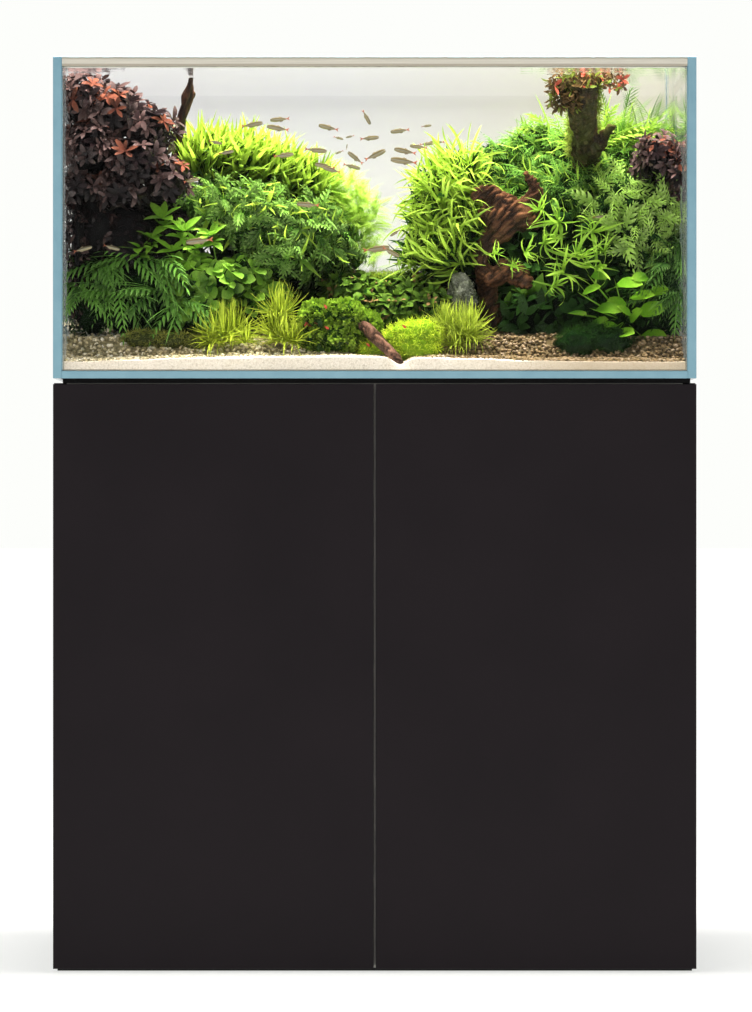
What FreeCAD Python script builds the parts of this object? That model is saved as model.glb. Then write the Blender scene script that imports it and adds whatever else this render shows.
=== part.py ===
"""Rimless aquarium on a two-door cabinet stand, in millimetres.

Frame: +Z up, the doors face -Y, origin on the floor at the centre of the bounding box.
Bottom to top: base rails, cabinet carcass with overlay doors, foam mat, glass tank with its planted scape.
"""
import os

import FreeCAD
import Part

V = FreeCAD.Vector

# ---- driving dimensions -------------------------------------------------------------------------
WIDTH = 900.0                 # tank and cabinet, left to right
TANK_DEPTH = 450.0            # tank, front to back
TANK_HEIGHT = 450.0           # underside of the base pane to the rim
WALL_GLASS = 12.0             # front, back and end panes
BASE_GLASS = 10.0             # base pane
GLASS_ARRIS = 0.6             # small chamfer ground along every glass edge
BEAD = 3.0                    # leg of the triangular silicone bead in each inner corner
FILM = 0.5                    # frosted film on the outside of the back pane
MAT = 6.0                     # foam levelling mat under the tank
MAT_INSET_LEFT = 13.0
MAT_INSET_RIGHT = 8.0
MAT_INSET_DEPTH = 10.0

RAIL_HEIGHT = 5.0             # base rails that the carcass stands on
RAIL_WIDTH = 40.0
RAIL_INSET = 4.5
CARCASS_HEIGHT = 820.0
BOARD = 18.0                  # lacquered board: carcass, shelf and doors
BACK_BOARD = 8.0
DOOR_GAP = 3.0                # air between a closed door and the carcass
DOOR_MEETING_GAP = 3.0        # air between the two doors
DOOR_TOP_GAP = 2.0            # carcass top above the doors' top edge
DOOR_ROUND = 1.5              # rounded arris round a door's front face

# ---- derived places -----------------------------------------------------------------------------
DEPTH = TANK_DEPTH + FILM      # the tank's front pane stands flush with the door fronts
X_OUT = WIDTH / 2
Y_DOOR_FRONT = -DEPTH / 2
Y_DOOR_BACK = Y_DOOR_FRONT + BOARD
Y_CARCASS = Y_DOOR_BACK + DOOR_GAP          # front edge of the carcass
Y_REAR = DEPTH / 2
Y_BACK_BOARD = Y_REAR - BACK_BOARD          # front face of the back panel
X_IN = X_OUT - BOARD                        # inner face of a side panel
Z_CARCASS = RAIL_HEIGHT
Z_TOP = Z_CARCASS + CARCASS_HEIGHT          # upper face of the top panel
Z_BAY_LOW = Z_CARCASS + BOARD
Z_BAY_HIGH = Z_TOP - BOARD

Z_TANK = Z_TOP + MAT
Z_RIM = Z_TANK + TANK_HEIGHT
Z_FLOOR = Z_TANK + BASE_GLASS               # upper face of the base pane
Y_TANK = Y_DOOR_FRONT                       # outer face of the front pane
Y_TANK_REAR = Y_TANK + TANK_DEPTH
X_WATER = X_OUT - WALL_GLASS                # inner face of an end pane
Y_WATER = Y_TANK + WALL_GLASS
Y_WATER_REAR = Y_TANK_REAR - WALL_GLASS


# ---- shape helpers ------------------------------------------------------------------------------
def box(x0, x1, y0, y1, z0, z1):
    return Part.makeBox(x1 - x0, y1 - y0, z1 - z0, V(x0, y0, z0))


def rod(radius, start, end):
    """Cylinder between two points."""
    along = V(*end) - V(*start)
    return Part.makeCylinder(radius, along.Length, V(*start), along)


def prism(outline, axis, low, high):
    """Closed outline of (u, v) points, pushed from low to high along axis "x" or "y" or "z"."""
    place = {"x": lambda u, v: V(low, u, v), "y": lambda u, v: V(u, low, v), "z": lambda u, v: V(u, v, low)}
    push = {"x": V(1, 0, 0), "y": V(0, 1, 0), "z": V(0, 0, 1)}
    points = [place[axis](u, v) for u, v in outline]
    face = Part.Face(Part.makePolygon(points + points[:1]))
    return face.extrude(push[axis] * (high - low))


def mirrored(shapes):
    """The same pieces on the other side of the cabinet."""
    return [s.mirror(V(0, 0, 0), V(1, 0, 0)) for s in shapes]


def rounded(shape, radius, wanted=lambda edge: True):
    return shape.makeFillet(radius, [e for e in shape.Edges if wanted(e)])


def cut_all(shape, tools):
    for tool in tools:
        shape = shape.cut(tool)
    return shape


def limb(stations):
    """A bough: a smooth loft through circles, each (x, y, z, radius), square to the way the bough runs."""
    wires = []
    for i, (x, y, z, radius) in enumerate(stations):
        before = V(*stations[max(i - 1, 0)][:3])
        after = V(*stations[min(i + 1, len(stations) - 1)][:3])
        circle = Part.Circle(V(x, y, z), after - before, radius)
        wires.append(Part.Wire(circle.toShape()))
    return Part.makeLoft(wires, True)


def above_ground(shape, ground_solids):
    """What is left of a plant, bough or stone once the ground round its foot is taken away."""
    shape = cut_all(shape, ground_solids)
    return max(shape.Solids, key=lambda solid: solid.Volume)


def boulder(centre, radii):
    matrix = FreeCAD.Matrix()
    matrix.scale(*radii)
    matrix.move(V(*centre))
    return Part.makeSphere(1.0).transformGeometry(matrix)


# ---- tank ---------------------------------------------------------------------------------------
def pane(x0, x1, y0, y1, z0, z1):
    glass = box(x0, x1, y0, y1, z0, z1)
    return glass.makeChamfer(GLASS_ARRIS, glass.Edges)


def tank_panes():
    """Five panes: the end panes run full depth and height, the others stand between them on the base."""
    return {
        "glass_left": [pane(-X_OUT, -X_WATER, Y_TANK, Y_TANK_REAR, Z_TANK, Z_RIM)],
        "glass_right": [pane(X_WATER, X_OUT, Y_TANK, Y_TANK_REAR, Z_TANK, Z_RIM)],
        "glass_base": [pane(-X_WATER, X_WATER, Y_TANK, Y_TANK_REAR, Z_TANK, Z_FLOOR)],
        "glass_front": [pane(-X_WATER, X_WATER, Y_TANK, Y_WATER, Z_FLOOR, Z_RIM)],
        "glass_back": [pane(-X_WATER, X_WATER, Y_WATER_REAR, Y_TANK_REAR, Z_FLOOR, Z_RIM)],
    }


def silicone_beads():
    """A bead up each inner corner and one along each foot, kept apart from each other."""
    upright, foot = [], []
    for sx in (-1, 1):
        x = sx * X_WATER
        for y, sy in ((Y_WATER, 1), (Y_WATER_REAR, -1)):
            corner = [(x, y), (x - sx * BEAD, y), (x, y + sy * BEAD)]
            upright.append(prism(corner, "z", Z_FLOOR + BEAD, Z_RIM - 2 * BEAD))
        end = [(x, Z_FLOOR), (x - sx * BEAD, Z_FLOOR), (x, Z_FLOOR + BEAD)]
        foot.append(prism(end, "y", Y_WATER + BEAD, Y_WATER_REAR - BEAD))
    for y, sy in ((Y_WATER, 1), (Y_WATER_REAR, -1)):
        long_side = [(y, Z_FLOOR), (y + sy * BEAD, Z_FLOOR), (y, Z_FLOOR + BEAD)]
        foot.append(prism(long_side, "x", -X_WATER, X_WATER))
    return {"silicone_corner_beads": upright, "silicone_foot_beads": foot}


def tank_dressing():
    film_margin = 4.0
    film = box(-X_OUT + film_margin, X_OUT - film_margin, Y_TANK_REAR, Y_TANK_REAR + FILM,
               Z_FLOOR + film_margin, Z_RIM - film_margin)
    mat = box(-X_OUT + MAT_INSET_LEFT, X_OUT - MAT_INSET_RIGHT,
              Y_TANK + MAT_INSET_DEPTH, Y_TANK_REAR - MAT_INSET_DEPTH, Z_TOP, Z_TANK)
    return {"background_film": [film], "levelling_mat": [mat]}


# ---- scape: ground, wood, stone and planting envelopes --------------------------------------------
SAND_REAR = -165.0            # where the white sand meets the gravel
SAND_DEPTH = 18.0
PATH = (-26.0, 62.0)          # sand path between the two gravel banks
BANK_PROFILE = ((SAND_REAR, SAND_DEPTH), (-135.0, 50.0), (-60.0, 66.0), (60.0, 84.0), (Y_WATER_REAR, 102.0))


def ground(beads):
    """White sand in front with a path to the back pane, and a gravel bank climbing on each side of it."""
    path_left, path_right = PATH
    outline = [(-X_WATER, Y_WATER), (X_WATER, Y_WATER), (X_WATER, SAND_REAR), (path_right, SAND_REAR),
               (path_right, Y_WATER_REAR), (path_left, Y_WATER_REAR), (path_left, SAND_REAR),
               (-X_WATER, SAND_REAR)]
    sand = prism(outline, "z", Z_FLOOR, Z_FLOOR + SAND_DEPTH)
    surface = [(y, Z_FLOOR + rise) for y, rise in BANK_PROFILE]
    section = [(SAND_REAR, Z_FLOOR)] + surface + [(Y_WATER_REAR, Z_FLOOR)]
    banks = [prism(section, "x", -X_WATER, path_left), prism(section, "x", path_right, X_WATER)]
    return cut_all(sand, beads), [cut_all(bank, beads) for bank in banks]


def hardscape():
    """Driftwood and stone, before the ground is cut away from their feet."""
    foot = Z_FLOOR + 5.0
    return {
        "driftwood_main": limb([(176, -66, foot + 15, 24), (177, -64, 960, 32), (186, -62, 1015, 38),
                                (190, -60, 1065, 38), (196, -56, 1112, 20)]),
        "driftwood_left_spar": limb([(-298, -12, foot, 11), (-290, -10, 1050, 10), (-282, -8, 1140, 9),
                                     (-268, -6, 1215, 6), (-262, -6, 1262, 4)]),
        "driftwood_stump": limb([(296, 78, foot, 34), (294, 74, 1000, 31), (292, 52, 1090, 28),
                                 (294, -20, 1180, 24), (300, -110, 1254, 22)]),
        "driftwood_twig": limb([(-12, -150, 893, 11), (4, -166, 878, 10), (26, -186, 862, 7)]),
        "stone_grey": boulder((112, -75, 925), (21, 24, 80)),
        "stone_mossy": boulder((308, -140, 872), (64, 24, 50)),
    }


# Planting envelopes: each is the plain outer shape of one plant group, given as x range, y range and top.
PLANTS = {
    "plant_red_left": [((-436, -316), (-108, 50), 1262)],
    "plant_fern_bright_left": [((-262, -30), (-20, 140), 1195)],
    "plant_round_leaf_left": [((-292, -165), (-105, -30), 1021)],
    "plant_fine_stem_centre": [((-80, 0), (150, 205), 1150)],
    "plant_valley_cover": [((-20, 56), (-100, 130), 968)],
    "plant_narrow_fern_centre": [((60, 150), (-5, 120), 1180)],
    "plant_hedge_right_rear": [((165, 434), (128, 205), 1200)],
    "plant_frond_right": [((252, 352), (-62, 5), 1080)],
    "plant_red_right": [((366, 434), (-15, 110), 1195)],
    "plant_broad_leaf_right": [((262, 392), (-108, -70), 985)],
    "plant_dark_ferns": [((-436, -306), (-168, -114), 1005), ((400, 434), (-165, -24), 995)],
    "plant_grass_left": [((-242, -168), (-168, -114), 945), ((-166, -102), (-168, -114), 975)],
    "plant_grass_right": [((104, 162), (-168, -112), 948)],
    "plant_moss_bush_centre": [((-98, -22), (-168, -112), 950)],
    "plant_riccia_mound": [((40, 100), (-168, -128), 916)],
}
ENVELOPE_ROUND = 0.24         # edge radius as a share of an envelope's smallest side


def planting(ground_solids):
    plants = {}
    for name, envelopes in PLANTS.items():
        plants[name] = []
        for (x0, x1), (y0, y1), top in envelopes:
            bush = box(x0, x1, y0, y1, Z_FLOOR + 1.0, top)
            bush = rounded(bush, ENVELOPE_ROUND * min(x1 - x0, y1 - y0))
            plants[name].append(above_ground(bush, ground_solids))
    return plants


def scape(beads):
    sand, banks = ground(beads)
    solids = [sand] + banks
    wood_and_stone = {name: [above_ground(shape, solids)] for name, shape in hardscape().items()}
    return {"sand_bed": [sand], "gravel_banks": banks, **wood_and_stone, **planting(solids)}


# ---- fasteners ----------------------------------------------------------------------------------
CAM_RADIUS = 7.5
CAM_DEPTH = 12.0
CAM_FROM_END = 34.0           # cam centre to the joint face
CROSS_LONG = 5.0              # driver cross in the cam's face: half length, half width and depth
CROSS_WIDE = 0.8
CROSS_DEPTH = 2.0
BOLT_SHORT = 0.5              # bolt end to the cam's wall
BOLT_RADIUS = 3.5
BOLT_IN_SIDE = 11.0
DOWEL_RADIUS = 4.0
DOWEL_HALF = 15.0
FASTENER_Y = (-150.0, 170.0)
DOWEL_Y = (-100.0, 120.0)
SCREW_HEAD = 4.0
SCREW_SHANK = 1.75


def cam_lock(barrel, x, y, z_face, inward):
    """A cam barrel with the driver cross cut in its face."""
    low, high = sorted((z_face, z_face + inward * CROSS_DEPTH))
    for half_x, half_y in ((CROSS_LONG, CROSS_WIDE), (CROSS_WIDE, CROSS_LONG)):
        barrel = barrel.cut(box(x - half_x, x + half_x, y - half_y, y + half_y, low, high))
    return barrel


def knock_down_fittings():
    """Cam locks, their bolts and the dowels that join the boards, with the plain holes they sit in."""
    barrels, cams, bolts, dowels = [], [], [], []
    joints = ((Z_BAY_HIGH + BOARD / 2, Z_BAY_HIGH, 1), (Z_CARCASS + BOARD / 2, Z_BAY_LOW, -1))
    for sx in (-1, 1):
        x_cam = sx * (X_IN - CAM_FROM_END)
        for z_mid, z_face, inward in joints:
            for y in FASTENER_Y:
                barrel = rod(CAM_RADIUS, (x_cam, y, z_face), (x_cam, y, z_face + inward * CAM_DEPTH))
                barrels.append(barrel)
                cams.append(cam_lock(barrel, x_cam, y, z_face, inward))
                bolts.append(rod(BOLT_RADIUS, (sx * (X_IN + BOLT_IN_SIDE), y, z_mid),
                                 (x_cam + sx * (CAM_RADIUS + BOLT_SHORT), y, z_mid)))
            for y in DOWEL_Y:
                dowels.append(rod(DOWEL_RADIUS, (sx * (X_IN - DOWEL_HALF), y, z_mid),
                                  (sx * (X_IN + DOWEL_HALF), y, z_mid)))
    for y in DOWEL_Y:
        for z in (Z_BAY_LOW, Z_BAY_HIGH):
            dowels.append(rod(DOWEL_RADIUS, (0, y, z - DOWEL_HALF), (0, y, z + DOWEL_HALF)))
    nodes = {"cam_locks": cams, "cam_bolts": bolts, "dowels": dowels}
    return nodes, barrels + bolts + dowels


def countersunk_screw(x, z):
    """A back-panel screw driven along -Y, its head flush with the panel's rear face."""
    head_depth, length = 2.5, 24.0
    head = Part.makeCone(SCREW_HEAD, SCREW_SHANK, head_depth, V(x, Y_REAR, z), V(0, -1, 0))
    shank = rod(SCREW_SHANK, (x, Y_REAR - head_depth, z), (x, Y_REAR - length, z))
    return head.fuse(shank)


def back_screws():
    edge, heights = 9.0, (120.0, 340.0, 560.0)
    places = [(sx * (X_OUT - edge), Z_CARCASS + h) for sx in (-1, 1) for h in heights]
    places += [(x, z) for x in (-300.0, -150.0, 150.0, 300.0) for z in (Z_CARCASS + edge, Z_TOP - edge)]
    return [countersunk_screw(x, z) for x, z in places]


# ---- concealed hinges (left door; the right one is its mirror) -------------------------------------
HINGE_FROM_END = 100.0        # outer hinges to the door's top and bottom edges
CUP_FROM_EDGE = 21.0          # cup centre to the door's outer edge
CUP_RADIUS = 17.4
CUP_BORE = 17.5
CUP_DEPTH = 13.5
CUP_WALL = 1.0
FLANGE = 1.5
PIN_FROM_EDGE = 7.5           # pivot axis to the door's outer edge
PIN_DEPTH = 10.0              # pivot axis below the door's back face
PIN_RADIUS = 1.0
PIN_PLAY = 0.06
ARM_HALF = 4.0                # half width of the hook in the cup
X_PIN = -X_OUT + PIN_FROM_EDGE
Y_PIN = Y_DOOR_BACK - PIN_DEPTH
Z_DOOR_LOW = Z_CARCASS
Z_DOOR_HIGH = Z_TOP - DOOR_TOP_GAP
HINGE_HEIGHTS = (Z_DOOR_LOW + HINGE_FROM_END, (Z_DOOR_LOW + Z_DOOR_HIGH) / 2, Z_DOOR_HIGH - HINGE_FROM_END)
CUP_SCREW_HALF = 24.0         # cup screws above and below the cup's centre
PLATE_Y = Y_CARCASS + 37.0    # mounting plate's screw line, on the 37 mm system row
PLATE_SCREW_HALF = 16.0


def hinge_cup(z):
    """Pressed cup with its flange, two ears and the pivot pin; it moves with the door."""
    x = -X_OUT + CUP_FROM_EDGE
    floor = Y_DOOR_BACK - CUP_DEPTH
    cup = rod(CUP_RADIUS, (x, floor, z), (x, Y_DOOR_BACK, z))
    flange = box(x - 16.0, x + 18.0, Y_DOOR_BACK, Y_DOOR_BACK + FLANGE, z - 31.0, z + 31.0)
    flange = rounded(flange, 6.0, lambda e: abs(e.tangentAt(e.FirstParameter).y) > 0.9)
    hollow = rod(CUP_RADIUS - CUP_WALL, (x, floor + CUP_WALL, z), (x, Y_DOOR_BACK + FLANGE, z))
    body = cup.fuse(flange).cut(hollow)
    ear_inner, ear_outer = ARM_HALF + 0.6, ARM_HALF + 3.2
    for side in (-1, 1):
        low, high = sorted((z + side * ear_inner, z + side * ear_outer))
        body = body.fuse(box(X_PIN - 2.0, X_PIN + 2.0, floor + CUP_WALL / 2, Y_PIN + 2.0, low, high))
    body = body.fuse(rod(PIN_RADIUS, (X_PIN, Y_PIN, z - ear_outer), (X_PIN, Y_PIN, z + ear_outer)))
    return body.removeSplitter()


def hinge_arm(z):
    """Cranked arm on the cabinet: a channel, a neck and a hook whose eye turns on the pin."""
    hook_half, eye_radius = 1.0, 2.0
    x_neck = X_PIN + 14.0
    arm = rod(eye_radius, (X_PIN, Y_PIN, z - ARM_HALF), (X_PIN, Y_PIN, z + ARM_HALF))
    arm = arm.fuse(box(X_PIN, x_neck + 4.0, Y_PIN - hook_half, Y_PIN + hook_half,
                       z - ARM_HALF, z + ARM_HALF))
    arm = arm.fuse(box(x_neck, x_neck + 4.0, Y_PIN - hook_half, Y_CARCASS, z - ARM_HALF, z + ARM_HALF))
    arm = arm.fuse(box(-X_IN + 0.5, -X_IN + 10.5, Y_CARCASS - 0.5, Y_CARCASS + 27.0, z - 7.0, z + 7.0))
    arm = arm.fuse(box(-X_IN + 3.0, -X_IN + 10.5, Y_CARCASS + 26.0, Y_CARCASS + 66.0, z - 7.0, z + 7.0))
    bore = rod(PIN_RADIUS + PIN_PLAY, (X_PIN, Y_PIN, z - ARM_HALF), (X_PIN, Y_PIN, z + ARM_HALF))
    return arm.cut(bore).removeSplitter()


def plate_screw(z):
    head = rod(SCREW_HEAD, (-X_IN + 2.0, PLATE_Y, z), (-X_IN + 3.6, PLATE_Y, z))
    return head.fuse(rod(SCREW_SHANK, (-X_IN + 2.0, PLATE_Y, z), (-X_IN - 12.0, PLATE_Y, z)))


def cup_screw(z):
    x, y = -X_OUT + CUP_FROM_EDGE + 4.0, Y_DOOR_BACK + FLANGE
    head = Part.makeCone(2.0, 3.2, 1.0, V(x, y - 1.0, z), V(0, 1, 0))
    return head.fuse(rod(SCREW_SHANK, (x, y - 1.0, z), (x, y - 12.0, z)))


def hinge_plate(z):
    """Mounting plate screwed to the side panel: a rail under the arm and two wings."""
    rail = box(-X_IN, -X_IN + 3.0, Y_CARCASS + 27.0, Y_CARCASS + 64.0, z - 9.0, z + 9.0)
    wings = box(-X_IN, -X_IN + 2.0, PLATE_Y - 8.0, PLATE_Y + 8.0, z - 24.0, z + 24.0)
    return rail.fuse(wings).removeSplitter()


def left_hinges():
    plate_screws = [plate_screw(z + s * PLATE_SCREW_HALF) for z in HINGE_HEIGHTS for s in (-1, 1)]
    cup_screws = [cup_screw(z + s * CUP_SCREW_HALF) for z in HINGE_HEIGHTS for s in (-1, 1)]
    on_side_panel = {
        "hinge_arms": [hinge_arm(z) for z in HINGE_HEIGHTS],
        "hinge_plates": [cut_all(hinge_plate(z), plate_screws) for z in HINGE_HEIGHTS],
        "hinge_plate_screws": plate_screws,
    }
    on_door = {
        "hinge_cups": [cut_all(hinge_cup(z), cup_screws) for z in HINGE_HEIGHTS],
        "hinge_cup_screws": cup_screws,
    }
    return on_side_panel, on_door


# ---- push latches and door furniture (left door) ---------------------------------------------------
LATCH_X = -33.0
LATCH_Z = Z_BAY_HIGH - 7.5
LATCH_HALF = 7.0
LATCH_LENGTH = 62.0
PLUNGER_RADIUS = 3.0
PLUNGER_PLAY = 0.2
PLUNGER_LENGTH = 50.0
BUFFER = 1.0                  # thickness of the soft buffers on a door's back


def left_latch():
    """Push-to-open latch under the top panel: a housing bored for its plunger, and the plunger."""
    y_front = Y_CARCASS + 2.0
    housing = box(LATCH_X - LATCH_HALF, LATCH_X + LATCH_HALF, y_front, y_front + LATCH_LENGTH,
                  Z_BAY_HIGH - 2 * LATCH_HALF - 1.0, Z_BAY_HIGH)
    housing = rounded(housing, 2.0, lambda e: abs(e.tangentAt(e.FirstParameter).y) > 0.9 and
                      e.BoundBox.ZMax < Z_BAY_HIGH - 1.0)
    bore_end = y_front + PLUNGER_LENGTH + 6.0
    housing = housing.cut(rod(PLUNGER_RADIUS + PLUNGER_PLAY, (LATCH_X, y_front, LATCH_Z),
                              (LATCH_X, bore_end, LATCH_Z)))
    tip = Y_DOOR_BACK + 0.1
    plunger = rod(PLUNGER_RADIUS, (LATCH_X, tip, LATCH_Z), (LATCH_X, tip + PLUNGER_LENGTH, LATCH_Z))
    plunger = rounded(plunger, 0.8, lambda e: e.BoundBox.YMax < tip + 0.1)
    return housing, plunger


def left_door(cup_screws):
    """Door board bored for its cups and screws, and the two buffers on its back."""
    x_meet = -DOOR_MEETING_GAP / 2
    board = box(-X_OUT, x_meet, Y_DOOR_FRONT, Y_DOOR_BACK, Z_DOOR_LOW, Z_DOOR_HIGH)
    board = rounded(board, DOOR_ROUND, lambda e: e.BoundBox.YMax < Y_DOOR_FRONT + 0.1)
    x_cup = -X_OUT + CUP_FROM_EDGE
    for z in HINGE_HEIGHTS:
        board = board.cut(rod(CUP_BORE, (x_cup, Y_DOOR_BACK - CUP_DEPTH, z), (x_cup, Y_DOOR_BACK, z)))
    board = cut_all(board, cup_screws)
    buffer_x = -24.0
    buffers = [rod(5.0, (buffer_x, Y_DOOR_BACK, z), (buffer_x, Y_DOOR_BACK + BUFFER, z))
               for z in (Z_CARCASS + BOARD / 2, Z_DOOR_HIGH - 8.0)]
    return board, buffers


# ---- cabinet ------------------------------------------------------------------------------------
SHELF_Z = 470.0
SHELF_FRONT = -150.0
SHELF_REAR = 190.0
SHELF_PLAY = 1.0
SHELF_PIN_RADIUS = 2.5
CUTOUT_HALF = 80.0
CUTOUT_HEIGHT = 70.0
CUTOUT_X = 220.0
CUTOUT_LOW = 700.0


def carcass_panels(holes):
    """Side, top, bottom, divider and back boards, drilled for every fitting in holes."""
    back = box(-X_OUT, X_OUT, Y_BACK_BOARD, Y_REAR, Z_CARCASS, Z_TOP)
    for x in (-CUTOUT_X, CUTOUT_X):
        hole = box(x - CUTOUT_HALF, x + CUTOUT_HALF, Y_BACK_BOARD, Y_REAR,
                   CUTOUT_LOW, CUTOUT_LOW + CUTOUT_HEIGHT)
        back = back.cut(rounded(hole, 15.0, lambda e: abs(e.tangentAt(e.FirstParameter).y) > 0.9))
    boards = {
        "side_panel_left": box(-X_OUT, -X_IN, Y_CARCASS, Y_BACK_BOARD, Z_CARCASS, Z_TOP),
        "side_panel_right": box(X_IN, X_OUT, Y_CARCASS, Y_BACK_BOARD, Z_CARCASS, Z_TOP),
        "top_panel": box(-X_IN, X_IN, Y_CARCASS, Y_BACK_BOARD, Z_BAY_HIGH, Z_TOP),
        "bottom_panel": box(-X_IN, X_IN, Y_CARCASS, Y_BACK_BOARD, Z_CARCASS, Z_BAY_LOW),
        "divider_panel": box(-BOARD / 2, BOARD / 2, Y_CARCASS, Y_BACK_BOARD, Z_BAY_LOW, Z_BAY_HIGH),
        "back_panel": back,
    }
    drilled = {}
    for name, board in boards.items():
        meeting = [hole for hole in holes if board.BoundBox.intersect(hole.BoundBox)]
        drilled[name] = [cut_all(board, meeting)]
    return drilled


def shelf_pins():
    pins = []
    z = SHELF_Z - SHELF_PIN_RADIUS
    for y in (SHELF_FRONT + 40.0, SHELF_REAR - 40.0):
        for x_face, way in ((-X_IN, 1), (-BOARD / 2, -1)):
            pins.append(rod(SHELF_PIN_RADIUS, (x_face - way * 7.0, y, z), (x_face + way * 8.0, y, z)))
    return pins


def base_rails():
    """Five flat rails under the carcass: front, rear, both ends and the middle."""
    x_out, y_front, y_rear = X_OUT - RAIL_INSET, Y_CARCASS + RAIL_INSET, Y_REAR - RAIL_INSET
    inner = (y_front + RAIL_WIDTH, y_rear - RAIL_WIDTH)
    rails = [box(-x_out, x_out, y_front, inner[0], 0, RAIL_HEIGHT),
             box(-x_out, x_out, inner[1], y_rear, 0, RAIL_HEIGHT)]
    for x in (-x_out, -RAIL_WIDTH / 2, x_out - RAIL_WIDTH):
        rails.append(box(x, x + RAIL_WIDTH, inner[0], inner[1], 0, RAIL_HEIGHT))
    return rails


def cabinet():
    fittings, holes = knock_down_fittings()
    screws = back_screws()
    on_side_panel, on_door = left_hinges()
    both_sides = {name: shapes + mirrored(shapes) for name, shapes in on_side_panel.items()}
    pins = shelf_pins()
    shelf = box(-X_IN + SHELF_PLAY, -BOARD / 2 - SHELF_PLAY, SHELF_FRONT, SHELF_REAR,
                SHELF_Z, SHELF_Z + BOARD)
    housing, plunger = left_latch()
    door, buffers = left_door(on_door["hinge_cup_screws"])
    holes += screws + pins + both_sides["hinge_plate_screws"]
    nodes = {**fittings, **both_sides, **carcass_panels(holes)}
    nodes["back_screws"] = screws
    nodes["shelf_pins"] = pins
    nodes["shelf"] = [shelf]
    nodes["base_rails"] = base_rails()
    nodes["latch_housings"] = [housing] + mirrored([housing])
    moving = {"door": [door], "door_buffers": buffers, "latch_plunger": [plunger], **on_door}
    for name, shapes in moving.items():
        nodes[f"{name}_left"] = shapes
        nodes[f"{name}_right"] = mirrored(shapes)
    return nodes


# ---- export -------------------------------------------------------------------------------------
def main():
    beads = silicone_beads()
    all_beads = beads["silicone_corner_beads"] + beads["silicone_foot_beads"]
    nodes = {**tank_panes(), **beads, **tank_dressing(), **scape(all_beads), **cabinet()}
    os.makedirs("parts", exist_ok=True)
    for name, solids in sorted(nodes.items()):
        shape = solids[0] if len(solids) == 1 else Part.makeCompound(solids)
        if not shape.isValid() or any(s.Volume <= 0 for s in shape.Solids):
            raise ValueError(f"{name} isn't a sound solid")
        shape.exportStep(f"parts/{name}.step")
    print(len(nodes), "nodes")


main()
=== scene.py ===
import math
import random
import bpy
import numpy as np
from mathutils import Matrix, Vector, noise


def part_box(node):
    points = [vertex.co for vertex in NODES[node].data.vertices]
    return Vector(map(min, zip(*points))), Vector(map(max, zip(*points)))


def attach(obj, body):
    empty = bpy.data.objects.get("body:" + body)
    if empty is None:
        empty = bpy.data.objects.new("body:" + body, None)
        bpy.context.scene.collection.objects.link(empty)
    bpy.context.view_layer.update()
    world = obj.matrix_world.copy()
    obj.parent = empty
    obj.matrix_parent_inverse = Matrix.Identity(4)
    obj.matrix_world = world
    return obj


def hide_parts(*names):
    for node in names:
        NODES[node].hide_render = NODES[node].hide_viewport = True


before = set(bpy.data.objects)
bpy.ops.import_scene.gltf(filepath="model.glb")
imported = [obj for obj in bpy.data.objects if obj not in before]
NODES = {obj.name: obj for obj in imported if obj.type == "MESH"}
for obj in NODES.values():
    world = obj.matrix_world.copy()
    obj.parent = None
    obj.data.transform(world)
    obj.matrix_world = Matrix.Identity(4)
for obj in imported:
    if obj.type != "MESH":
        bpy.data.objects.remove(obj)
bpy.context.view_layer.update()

MM = 0.001
ROOT = "stand_and_tank"

# ---- places read from the frame -------------------------------------------------------------------
FRONT_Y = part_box("glass_front")[0].y              # outer face of the front pane
INNER_FRONT_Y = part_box("glass_front")[1].y
INNER_REAR_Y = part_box("glass_back")[0].y
INNER_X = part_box("glass_right")[0].x
RIM_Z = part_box("glass_front")[1].z
BED_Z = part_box("glass_base")[1].z                 # upper face of the base pane
SAND_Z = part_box("sand_bed")[1].z
SAND_REAR_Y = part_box("gravel_banks")[0].y
WATER_Z = RIM_Z - 13 * MM

# ---- camera ---------------------------------------------------------------------------------------
CAMERA_DISTANCE = 6.0                             # lens to the front pane
CAMERA_X = 1.8 * MM
CAMERA_Z = 0.6525
VIEW_HEIGHT = 1.4152                              # height of the picture at the front pane
SENSOR = 36.0


def make_camera():
    data = bpy.data.cameras.new("camera")
    data.sensor_width = SENSOR
    data.lens = SENSOR * CAMERA_DISTANCE / VIEW_HEIGHT
    camera = bpy.data.objects.new("camera", data)
    camera.location = (CAMERA_X, FRONT_Y - CAMERA_DISTANCE, CAMERA_Z)
    camera.rotation_euler = (math.radians(90), 0, 0)
    bpy.context.scene.collection.objects.link(camera)
    bpy.context.scene.camera = camera


def seen(x, z, depth):
    """The point at a depth behind the front pane that shows in front view at (x, z) on that pane.
    All in millimetres: x from the middle of the tank, z above the base pane."""
    spread = 1 + depth * MM / CAMERA_DISTANCE
    return Vector((CAMERA_X + (x * MM - CAMERA_X) * spread, FRONT_Y + depth * MM,
                   CAMERA_Z + (BED_Z + z * MM - CAMERA_Z) * spread))


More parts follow.
